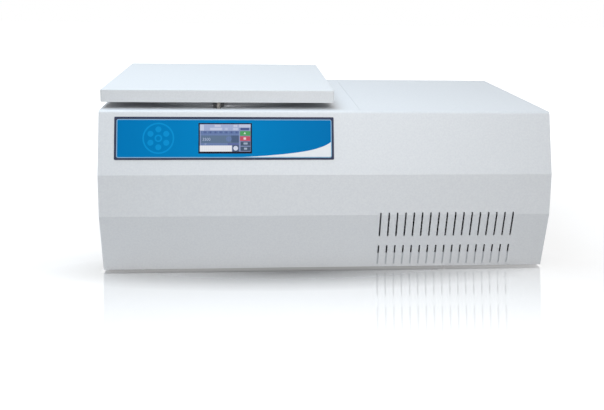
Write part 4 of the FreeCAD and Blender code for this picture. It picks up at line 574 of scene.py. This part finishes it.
class CENTRIFUGE_OT_finish_steel(bpy.types.Operator):
    """Finishes the bare, plated and painted steel"""

    bl_idname = "centrifuge.finish_steel"
    bl_label = "Finish Steel"

    def execute(self, context):
        low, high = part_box("chamber_bowl")
        chamber = (low + high) / 2
        # spun stainless: fine rings left by the roller
        spun = turned_metal("spun_stainless", srgb("#D5D6D8"), srgb("#AEB0B3"),
                            roughness=0.26, pitch=1.5 * MM, axis=chamber)
        dress(spun, "chamber_bowl")
        # the liner and the hinges are the same stainless, brushed across
        brushed = brushed_steel("brushed_stainless", srgb("#CFD0D3"), srgb("#BABCC0"),
                                roughness=0.34, grain=1.2 * MM)
        dress(brushed, "lid_liner", "hinge_bases", "hinge_leaves")
        # dull nickel plate on the latch: warm grey, a little worn, and darkened as painted shade to
        # how it looks in the shaded gap under the lid
        nickel_with_painted_shade = drawn_metal("dull_nickel_painted_shade", srgb("#7B7874"), srgb("#5E5B58"),
                             roughness=0.38, stain=6 * MM)
        dress(nickel_with_painted_shade, "lid_striker", "lock_hook")
        # galvanised sheet: dull grey under its spangle, and darkened further as painted shade for
        # where it sits in the shade behind the slots
        galvanised_with_painted_shade = moulded("galvanised_pan_painted_shade", srgb("#CBCED2"), srgb("#BFC3C7"),
                             roughness=0.5, texture=6 * MM, depth=0.03 * MM)
        dress(galvanised_with_painted_shade, "base_pan")
        # zinc plate: duller and bluer, with faint rolling lines
        zinc = brushed_steel("zinc_plated_sheet", srgb("#BFC4C9"), srgb("#8F959C"),
                             roughness=0.42, grain=4 * MM)
        dress(zinc, "bay_divider", "spring_base_brackets", "spring_lid_brackets", "lock_housing",
              "fan_bracket", "fan_shroud", "board_standoffs", "casing_screws", "motor_plate")
        # ground and hard-chromed rod: near mirror
        chrome = drawn_metal("hard_chrome", srgb("#E3E5E8"), srgb("#C9CCD0"),
                             roughness=0.08, stain=20 * MM)
        dress(chrome, "gas_spring_rod_left", "gas_spring_rod_right", "hinge_pins", "drive_spindle")
        # thick guard and castings under dark primer
        primer = moulded("dark_primer", srgb("#55595E"), srgb("#45484D"),
                         roughness=0.6, texture=4 * MM, depth=0.15 * MM)
        dress(primer, "guard_ring", "drive_motor", "fan_motor", "lock_motor")
        # stove enamel: black and glossy over slightly rippled sheet
        enamel = moulded("black_enamel", srgb("#17181A"), srgb("#101113"),
                         roughness=0.22, texture=6 * MM, depth=0.08 * MM)
        dress(enamel, "compressor", "gas_spring_tube_left", "gas_spring_tube_right")
        return {"FINISHED"}


class CENTRIFUGE_OT_finish_light_metals(bpy.types.Operator):
    """Finishes the aluminium and the copper"""

    bl_idname = "centrifuge.finish_light_metals"
    bl_label = "Finish Light Metals"

    def execute(self, context):
        low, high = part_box("rotor_nut")
        # clear anodised alloy: pale satin with lathe rings
        rotor = turned_metal("anodised_rotor", srgb("#C9CBCF"), srgb("#A3A6AC"),
                             roughness=0.34, pitch=1.2 * MM, axis=(low + high) / 2)
        dress(rotor, "rotor_head")
        for number in range(1, BUCKETS + 1):
            low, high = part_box(f"bucket_{number}")
            bucket = turned_metal(f"anodised_bucket_{number}", srgb("#BFC2C7"), srgb("#9A9EA5"),
                                  roughness=0.36, pitch=1 * MM, axis=(low + high) / 2)
            dress(bucket, f"bucket_{number}")
        # soft copper tube: warm, with brown clouds where it was brazed
        copper = drawn_metal("soft_copper", srgb("#C8795A"), srgb("#8A4B35"),
                             roughness=0.3, stain=30 * MM)
        dress(copper, "evaporator_coil", "refrigerant_pipes", "filter_drier")
        # fin block: bare aluminium edges over painted shade between them
        fins = finned("aluminium_fins_painted_gaps", srgb("#DDE0E6"), srgb("#70737F"), pitch=5 * MM)
        dress(fins, "condenser")
        # extruded case: natural aluminium with die lines
        extruded = brushed_steel("extruded_aluminium", srgb("#C8CACD"), srgb("#A8ABAF"),
                                 roughness=0.4, grain=2 * MM)
        dress(extruded, "inverter_drive")
        return {"FINISHED"}


class CENTRIFUGE_OT_finish_plastics(bpy.types.Operator):
    """Finishes the plastic, rubber, foam and board"""

    bl_idname = "centrifuge.finish_plastics"
    bl_label = "Finish Plastics"

    def execute(self, context):
        # ABS from a spark-eroded mould: dark, matt, finely pitted
        plastic = moulded("black_abs", srgb("#222326"), srgb("#17181A"),
                          roughness=0.5, texture=1.2 * MM, depth=0.08 * MM)
        dress(plastic, "striker_guide", "switch_frame", "mains_inlet", "cooling_fan",
              "rotor_nut", "switch_rocker")
        # EPDM rubber: dull, with a dusty bloom
        rubber = moulded("black_rubber", srgb("#2A2A2B"), srgb("#1D1D1E"),
                         roughness=0.78, texture=2 * MM, depth=0.1 * MM)
        dress(rubber, "rubber_feet", "shaft_boot", "vibration_mounts", "compressor_grommets")
        # pressed silicone: pale grey and matt, it takes up a little dust
        silicone = moulded("grey_silicone", srgb("#B4B6BB"), srgb("#A2A4A9"),
                           roughness=0.7, texture=2.5 * MM, depth=0.06 * MM)
        dress(silicone, "chamber_gasket")
        # polyethylene foam: cream, yellower in the cells
        insulation = foam("cream_foam", srgb("#E9DFC0"), srgb("#CDBE93"), cell=3 * MM)
        dress(insulation, "lid_insulation", "insulation_jacket")
        # solder mask: bottle green, paler where copper runs under it
        board = solder_mask("green_solder_mask", srgb("#1E6B43"), srgb("#4E9A6A"), pitch=12 * MM)
        dress(board, "control_board")
        # cover glass: near black from the ink on its back, a little blue
        dress(cover_glass("black_cover_glass", srgb("#1B1C2B")), "touch_display")
        # polyester film: dark blue ink behind it
        film = context.scene.centrifuge_film
        dress(printed("film_border_ink", [film.border]), "control_overlay")
        return {"FINISHED"}


# ---------------------------------------------------------------- operators: new pieces
class CENTRIFUGE_OT_print_film(bpy.types.Operator):
    """Prints the blue field, its keyline, the white sweep and the rotor motif on the film"""

    bl_idname = "centrifuge.print_film"
    bl_label = "Print Film"

    # the motif's parts as shares of its radius
    motif_line, motif_hub, motif_dot, motif_dots_at = 0.1, 0.24, 0.19, 0.57
    motif_dots = 6

    def sweep_outline(self, film, right, foot):
        """The white area: a curve that falls steeply from the right and runs out along the foot."""

        def at(share_along, share_up):
            return right - film.sweep_length * share_along, foot - film.sweep_height * share_up

        corner = film.corner
        return [
            (*at(0, 1), at(0, 0.9), at(0.036, 0.8)),
            (*at(0.26, 0.41), at(0.133, 0.56), at(0.4545, 0.2)),
            (*at(1, 0), at(0.727, 0.06), at(0.9, 0)),
            (right - corner, foot, (right - corner * 2, foot), (right - corner * 0.45, foot)),
            (right, foot - corner, (right, foot - corner * 0.45), (right, foot - corner * 2)),
        ]

    def execute(self, context):
        film = context.scene.centrifuge_film
        place = film_frame()
        _, _, width, height = face_edges("control_overlay", place)
        left, right = film.border_side, width - film.border_side
        top, foot = film.border_top, height - film.border_foot
        line = film.keyline_width
        shape = bmesh.new()
        add_plate(shape, left - line, top - line, right + line, foot + line, INK,
                  corner=film.corner + line, material=0)
        add_plate(shape, left, top, right, foot, INK * 2, corner=film.corner, material=1)
        cut_window(shape, *face_edges("touch_display", place))
        sweep = flat_outline(self.sweep_outline(film, right, foot), INK * 3)
        for face in join_flat(shape, sweep):
            face.material_index = 2
        x, y, reach = film.motif_from_left, height / 2, film.motif_radius
        for radius in (reach, reach * self.motif_hub):
            add_ring(shape, x, y, radius, reach * self.motif_line, INK * 3, material=3)
        for number in range(self.motif_dots):
            angle = math.radians(360 / self.motif_dots * (number + 0.5))
            along, down = math.cos(angle), math.sin(angle)
            add_disc(shape, x + reach * self.motif_dots_at * along,
                     y + reach * self.motif_dots_at * down,
                     reach * self.motif_dot, INK * 3, material=3)
        bmesh.ops.transform(shape, matrix=place, verts=shape.verts)
        low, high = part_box("control_overlay")
        inks = [
            printed("keyline_ink", [film.keyline]),
            printed("field_ink", [film.field_left, film.field_middle, film.field_right],
                    low.x, high.x),
            printed("white_ink", [film.sweep]),
            printed("motif_ink", [film.motif]),
        ]
        new_piece("printed_front", shape, "cabinet", "overlay_film", *inks)
        return {"FINISHED"}


class CENTRIFUGE_OT_light_display(bpy.types.Operator):
    """Draws the lit picture on the display: tiles, buttons and plain figures"""

    bl_idname = "centrifuge.light_display"
    bl_label = "Light Display"

    # left, top, right, foot as shares of the picture, and the colour
    tiles = (
        (0.00, 0.00, 1.00, 1.00, "#8F9DC6"),
        (0.00, 0.00, 0.77, 0.23, "#A9B6DB"),
        (0.77, 0.00, 1.00, 0.12, "#C9CFEA"),
        (0.00, 0.02, 0.08, 0.23, "#CBD5EE"),
        (0.29, 0.02, 0.41, 0.10, "#D0D4EC"),
        (0.66, 0.02, 0.74, 0.10, "#CDD3EC"),
        (0.20, 0.13, 0.44, 0.22, "#CDD4EC"),
        (0.49, 0.13, 0.55, 0.22, "#BEC9E6"),
        (0.65, 0.13, 0.75, 0.22, "#C6CFEA"),
        (0.80, 0.13, 0.97, 0.22, "#4A5890"),
        (0.02, 0.25, 0.77, 0.34, "#5A73A6"),
        (0.02, 0.34, 0.77, 0.41, "#6A82B4"),
        (0.02, 0.41, 0.77, 0.70, "#5F7896"),
        (0.62, 0.41, 0.77, 0.67, "#475F82"),
        (0.02, 0.69, 0.77, 0.77, "#6C83B3"),
        (0.55, 0.69, 0.77, 0.77, "#5C6CA6"),
        (0.00, 0.78, 0.63, 1.00, "#F4F6FB"),
        (0.64, 0.76, 0.77, 1.00, "#4C5D7C"),
        (0.79, 0.25, 0.995, 0.42, "#49A35C"),
        (0.79, 0.44, 0.995, 0.61, "#CB4C62"),
        (0.80, 0.63, 0.995, 0.79, "#415670"),
        (0.80, 0.82, 0.995, 0.98, "#415670"),
        (0.86, 0.67, 0.94, 0.74, "#A9B8CF"),
        (0.87, 0.86, 0.93, 0.93, "#A9B8CF"),
    )
    # a row of small tiles in two colours by turns: the first one, and the step to the next
    row_tile, row_step, row_count = (0.04, 0.26, 0.06, 0.33), 0.052, 14
    row_colours = ("#6E86B4", "#48598F")
    # middle x, middle y and radius as shares of the picture, corners, and the colour
    discs = (
        (0.705, 0.88, 0.085, 40, "#DCE3F6"),
        (0.57, 0.54, 0.1, 40, "#667FAE"),
        (0.885, 0.335, 0.05, 3, "#DCEFE0"),
    )
    stop_mark = (0.86, 0.485, 0.91, 0.565, "#F2D9DF")
    # figures, middle x, middle y and height as shares of the picture, and the colour
    readings = (("3500", 0.13, 0.56, 0.105, "#B9C6E4"), ("20", 0.11, 0.73, 0.05, "#B9C6E4"))
    # heights in layers: of the first tile, of each tile over the last, and of the marks over all
    first_lift, tile_lift, mark_lift = 1, 0.4, 12

    def execute(self, context):
        display = context.scene.centrifuge_display
        place = film_frame()
        left, top, right, foot = face_edges("touch_display", place)
        left += display.side_margin
        right -= display.side_margin
        top += display.top_margin
        foot -= display.foot_margin
        shape = bmesh.new()
        tint = shape.loops.layers.float_color.new("tile")
        width, height = right - left, foot - top

        def paint(faces, code):
            for tile in faces:
                for loop in tile.loops:
                    loop[tint] = srgb(code)

        def add_tile(x0, y0, x1, y1, code, lift):
            paint(add_plate(shape, left + x0 * width, top + y0 * height,
                            left + x1 * width, top + y1 * height, lift), code)

        for number, tile in enumerate(self.tiles):
            add_tile(*tile, (self.first_lift + self.tile_lift * number) * INK)
        lift = self.mark_lift * INK
        for number in range(self.row_count):
            x0, y0, x1, y1 = self.row_tile
            along = self.row_step * number
            add_tile(x0 + along, y0, x1 + along, y1, self.row_colours[number % 2], lift)
        for x, y, radius, segments, code in self.discs:
            paint(add_disc(shape, left + x * width, top + y * height, radius * height, lift,
                           segments=segments), code)
        add_tile(*self.stop_mark, lift)
        for text, x, y, tall, code in self.readings:
            figures = figure_mesh(text, tall * height)
            figures.transform(Matrix.Translation((left + x * width, -top - y * height, lift)))
            paint(join_flat(shape, figures), code)
        bmesh.ops.transform(shape, matrix=place, verts=shape.verts)
        crystal = lit_picture("lit_crystal", display.glow)
        new_piece("display_picture", shape, "cabinet", "display_glass", crystal)
        return {"FINISHED"}


class CENTRIFUGE_OT_mark_switch(bpy.types.Operator):
    """Prints the on and off marks on the power rocker"""

    bl_idname = "centrifuge.mark_switch"
    bl_label = "Mark Switch"

    def execute(self, context):
        marks = context.scene.centrifuge_marks
        low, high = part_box("switch_rocker")
        middle = (low + high) / 2
        quarter = (high.z - low.z) / 4
        across = Vector((-1, 0, 0))  # seen from behind, where the switch is
        forwards = Vector((0, -1, 0))
        half_height, half_bar, ring_line = (
            marks.switch_height * share for share in (0.5, 0.09, 0.16))
        shape = bmesh.new()
        bar = bmesh.new()
        add_plate(bar, -half_bar, -half_height, half_bar, half_height, INK)
        ring = bmesh.new()
        add_ring(ring, 0, 0, half_height, ring_line, INK)
        for mark, rise in ((bar, quarter), (ring, -quarter)):
            behind = Vector((middle.x, 1, middle.z + rise))
            place = face_met("switch_rocker", behind, forwards, across)
            bmesh.ops.transform(mark, matrix=place, verts=mark.verts)
            add_shape(shape, mark)
        ink = printed("white_pad_print", [marks.light])
        new_piece("switch_marks", shape, "power_rocker", "black_plastic", ink)
        return {"FINISHED"}


class CENTRIFUGE_OT_number_rotor(bpy.types.Operator):
    """Etches a plain figure on each arm of the rotor, one for each bucket"""

    bl_idname = "centrifuge.number_rotor"
    bl_label = "Number Rotor"

    def execute(self, context):
        marks = context.scene.centrifuge_marks
        low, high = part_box("rotor_nut")
        middle = (low + high) / 2
        shape = bmesh.new()
        for number in range(BUCKETS):
            angle = math.radians(360 / BUCKETS * (number + 0.5))
            outwards = Vector((math.cos(angle), math.sin(angle), 0))
            above = Vector((middle.x, middle.y, high.z)) + outwards * marks.rotor_reach
            across = Vector((outwards.y, -outwards.x, 0))
            place = face_met("rotor_head", above, Vector((0, 0, -1)), across)
            figure = bmesh.new()
            join_flat(figure, figure_mesh(str(number + 1), marks.rotor_height))
            raised = place @ Matrix.Translation((0, 0, INK))
            bmesh.ops.transform(figure, matrix=raised, verts=figure.verts)
            add_shape(shape, figure)
        etching = printed("laser_etching", [marks.dark])
        new_piece("rotor_numbers", shape, "rotor", "machined_aluminium", etching)
        return {"FINISHED"}


# ---------------------------------------------------------------- stage
class CENTRIFUGE_OT_set_stage(bpy.types.Operator):
    """Sets the camera, the lamps and the white table top"""

    bl_idname = "centrifuge.set_stage"
    bl_label = "Set Stage"

    neutral, sky = (1.0, 1.0, 1.0), (0.72, 0.87, 1.0)
    # place, aim, width, depth, setting that holds the power, share of it, tint, and whether
    # gloss shows the lamp: the last three would glare on the lid
    panels = {
        "key_panel": ((0.05, -1.0, 0.8), (0.05, -0.28, 0.2), 0.9, 0.15,
                      "key_power", 1, neutral, True),
        "top_panel": ((-0.6, -0.1, 1.8), (-0.1, -0.05, 0.3), 1.5, 1.2,
                      "top_power", 1, sky, True),
        "low_panel": ((0.05, -2.3, 0.45), (0.05, -0.28, 0.3), 0.6, 0.3,
                      "fill_power", 1, neutral, True),
        "left_panel": ((-2.2, 0.5, 0.42), (0, 0.1, 0.2), 0.8, 0.5,
                       "round_power", 1, neutral, False),
        "right_panel": ((2.2, 0.5, 0.42), (0, 0.1, 0.2), 0.8, 0.5,
                        "round_power", 1, neutral, False),
        "back_panel": ((0, 2.2, 0.42), (0, 0.28, 0.2), 1.2, 0.5,
                       "round_power", 1.3, neutral, False),
    }

    def execute(self, context):
        studio = context.scene.centrifuge_studio
        self.camera(context, studio)
        self.floor(context, studio)
        self.lamps(context, studio)
        self.world(context, studio)
        context.scene.view_settings.view_transform = "Standard"
        return {"FINISHED"}

    def camera(self, context, studio):
        lens = bpy.data.cameras.new("studio_camera")
        lens.lens = studio.lens
        lens.sensor_width = 36
        lens.shift_x = studio.shift_x
        lens.shift_y = studio.shift_y
        lens.clip_end = 100
        camera = bpy.data.objects.new("studio_camera", lens)
        context.scene.collection.objects.link(camera)
        place = Matrix.Translation((studio.camera_x, studio.camera_y, studio.camera_z))
        aim = (Matrix.Rotation(-studio.yaw, 4, "Z")
               @ Matrix.Rotation(math.pi / 2 - studio.pitch, 4, "X")
               @ Matrix.Rotation(studio.roll, 4, "Z"))
        camera.matrix_world = place @ aim
        context.scene.camera = camera

    def oval(self, tree, coordinates, centre, reach, core, least):
        """A factor that is least inside an oval's core and 1 beyond its edge."""
        place = add_node(tree, "ShaderNodeMapping", inputs={
            0: coordinates, "Location": (-centre[0] / reach[0], -centre[1] / reach[1], 0),
            "Scale": (1 / reach[0], 1 / reach[1], 0)})
        apart = add_node(tree, "ShaderNodeVectorMath", {"operation": "LENGTH"}, {
            0: place.outputs[0]})
        return remap(tree, apart.outputs["Value"], core, 1, least, 1)

    def floor(self, context, studio):
        """Laminate: its gloss mirrors the casing and dies away. It glows for the eye alone, with
        painted shadow before the casing and painted light under it.
        """
        material, tree, coordinates = new_tree("white_laminate")
        seen = add_node(tree, "ShaderNodeLightPath").outputs["Is Camera Ray"]
        unseen = calculate(tree, "SUBTRACT", 1.0, seen)
        # metres outwards from the casing's foot, of which these are the half sizes
        half_width, half_depth = 0.425, 0.243
        parts = add_node(tree, "ShaderNodeSeparateXYZ", inputs={0: coordinates})
        beside, before = (
            calculate(tree, "SUBTRACT", calculate(tree, "ABSOLUTE", parts.outputs[socket]), half)
            for socket, half in enumerate((half_width, half_depth)))
        away = calculate(tree, "MAXIMUM", beside, before)
        # laminate is glossy at a low angle and matt from above
        matt_until, glossy_from = 0.3, 0.6
        facing = add_node(tree, "ShaderNodeLayerWeight").outputs["Facing"]
        low_angle = remap(tree, facing, matt_until, glossy_from, 0, 1)
        gloss = calculate(tree, "MULTIPLY", low_angle,
                          remap(tree, away, 0, studio.mirror_reach, studio.mirror, 0))
        # painted shadow in front of the casing, in the glow, the matt colour and the mirror's tone:
        # dark close by, and faint around that
        painted_shadow_darkest = 0.15
        painted_contact_shadow = self.oval(tree, coordinates, centre=(-0.06, -0.243), reach=(0.48, 0.13),
                            core=0.1, least=painted_shadow_darkest)
        painted_broad_shadow = self.oval(tree, coordinates, centre=(-0.1, -0.2), reach=(0.6, 0.13),
                           core=0.6, least=0.7)
        # painted shadow on the mirror: the mirrored casing turns greyer close to the casing
        painted_shadow_mirror_tone = blend_tones(tree, remap(tree, painted_contact_shadow, painted_shadow_darkest, 0.5, 0, 1),
                                  srgb("#D6D6D6"), WHITE)
        mirror = add_node(tree, "ShaderNodeBsdfGlossy", inputs={
            "Color": painted_shadow_mirror_tone, "Roughness": 0.04})
        # painted shadow in the matt colour, for the eye alone
        clear = calculate(tree, "MAXIMUM", painted_contact_shadow, unseen)
        matt = add_node(tree, "ShaderNodeBsdfDiffuse", inputs={
            "Color": blend_tones(tree, clear, srgb("#2E2E30"), studio.floor)})
        # painted light under the casing, for the eye alone, which lifts the shade in the gap so the
        # casing's edge stands off the painted shadow: none of it 19 mm outside the foot, and all of
        # it from 3 mm inside
        painted_light_under_casing = remap(tree, away, 19 * MM, -3 * MM, 0, 1.5)
        shade = remap(tree, away, 0, studio.glow_reach, studio.floor_glow, studio.far_glow)
        for dimmed in (calculate(tree, "MAXIMUM", painted_contact_shadow, painted_light_under_casing), painted_broad_shadow, seen):
            shade = calculate(tree, "MULTIPLY", shade, dimmed)
        glow = add_node(tree, "ShaderNodeEmission", inputs={"Color": WHITE, "Strength": shade})
        body = add_node(tree, "ShaderNodeAddShader", inputs={
            0: matt.outputs[0], 1: glow.outputs[0]})
        both = add_node(tree, "ShaderNodeMixShader", inputs={
            0: gloss, 1: body.outputs[0], 2: mirror.outputs[0]})
        close_tree(tree, both)
        shape = bmesh.new()
        half_size = 8
        bmesh.ops.create_grid(shape, x_segments=1, y_segments=1, size=half_size)
        mesh = bpy.data.meshes.new("table_top")
        shape.to_mesh(mesh)
        shape.free()
        mesh.materials.append(material)
        table = bpy.data.objects.new("table_top", mesh)
        context.scene.collection.objects.link(table)

    def lamps(self, context, studio):
        for name, panel in self.panels.items():
            place, aim, width, depth, power, share, tint, glossy = panel
            lamp = bpy.data.lights.new(name, "AREA")
            lamp.shape = "RECTANGLE"
            lamp.size = width
            lamp.size_y = depth
            lamp.energy = getattr(studio, power) * share
            lamp.color = tint
            holder = bpy.data.objects.new(name, lamp)
            context.scene.collection.objects.link(holder)
            holder.location = place
            holder.visible_glossy = glossy
            away = Vector(aim) - Vector(place)
            holder.rotation_euler = away.to_track_quat("-Z", "Y").to_euler()

    def world(self, context, studio):
        """Even air: white where it is looked at, mirrored or looked through, and dim as a light."""
        world = bpy.data.worlds.new("studio_air")
        world.use_nodes = True
        tree = world.node_tree
        tree.nodes.clear()
        rays = add_node(tree, "ShaderNodeLightPath").outputs
        seen = calculate(tree, "MAXIMUM", rays["Is Camera Ray"], rays["Is Glossy Ray"])
        clear = calculate(tree, "MAXIMUM", seen, rays["Is Transmission Ray"])
        air = add_node(tree, "ShaderNodeBackground", inputs={
            "Color": WHITE, "Strength": remap(tree, clear, 0, 1, studio.air, 1.0)})
        add_node(tree, "ShaderNodeOutputWorld", inputs={"Surface": air.outputs[0]})
        context.scene.world = world


# ---------------------------------------------------------------- panel and registration
OPERATORS = (
    CENTRIFUGE_OT_coat_sheets,
    CENTRIFUGE_OT_finish_steel,
    CENTRIFUGE_OT_finish_light_metals,
    CENTRIFUGE_OT_finish_plastics,
    CENTRIFUGE_OT_print_film,
    CENTRIFUGE_OT_light_display,
    CENTRIFUGE_OT_mark_switch,
    CENTRIFUGE_OT_number_rotor,
    CENTRIFUGE_OT_set_stage,
)

SETTINGS = {
    "centrifuge_paint": CentrifugePaint,
    "centrifuge_film": CentrifugeFilm,
    "centrifuge_display": CentrifugeDisplay,
    "centrifuge_marks": CentrifugeMarks,
    "centrifuge_studio": CentrifugeStudio,
}


class CENTRIFUGE_PT_build(bpy.types.Panel):
    """The operators that dress the centrifuge, in their order"""

    bl_idname = "CENTRIFUGE_PT_build"
    bl_label = "Centrifuge"
    bl_space_type = "VIEW_3D"
    bl_region_type = "UI"
    bl_category = "Centrifuge"

    def draw(self, context):
        for operator in OPERATORS:
            self.layout.operator(operator.bl_idname)
        for name, group in SETTINGS.items():
            box = self.layout.box()
            box.label(text=group.__doc__)
            for prop in group.__annotations__:
                box.prop(getattr(context.scene, name), prop)


def register():
    for group in SETTINGS.values():
        bpy.utils.register_class(group)
    for operator in OPERATORS:
        bpy.utils.register_class(operator)
    bpy.utils.register_class(CENTRIFUGE_PT_build)
    for name, group in SETTINGS.items():
        setattr(bpy.types.Scene, name, PointerProperty(type=group))


def unregister():
    for name in SETTINGS:
        delattr(bpy.types.Scene, name)
    bpy.utils.unregister_class(CENTRIFUGE_PT_build)
    for operator in reversed(OPERATORS):
        bpy.utils.unregister_class(operator)
    for group in reversed(SETTINGS.values()):
        bpy.utils.unregister_class(group)


def main():
    register()
    bpy.ops.centrifuge.coat_sheets()
    bpy.ops.centrifuge.finish_steel()
    bpy.ops.centrifuge.finish_light_metals()
    bpy.ops.centrifuge.finish_plastics()
    bpy.ops.centrifuge.print_film()
    bpy.ops.centrifuge.light_display()
    bpy.ops.centrifuge.mark_switch()
    bpy.ops.centrifuge.number_rotor()
    bpy.ops.centrifuge.set_stage()


if __name__ == "__main__":
    main()
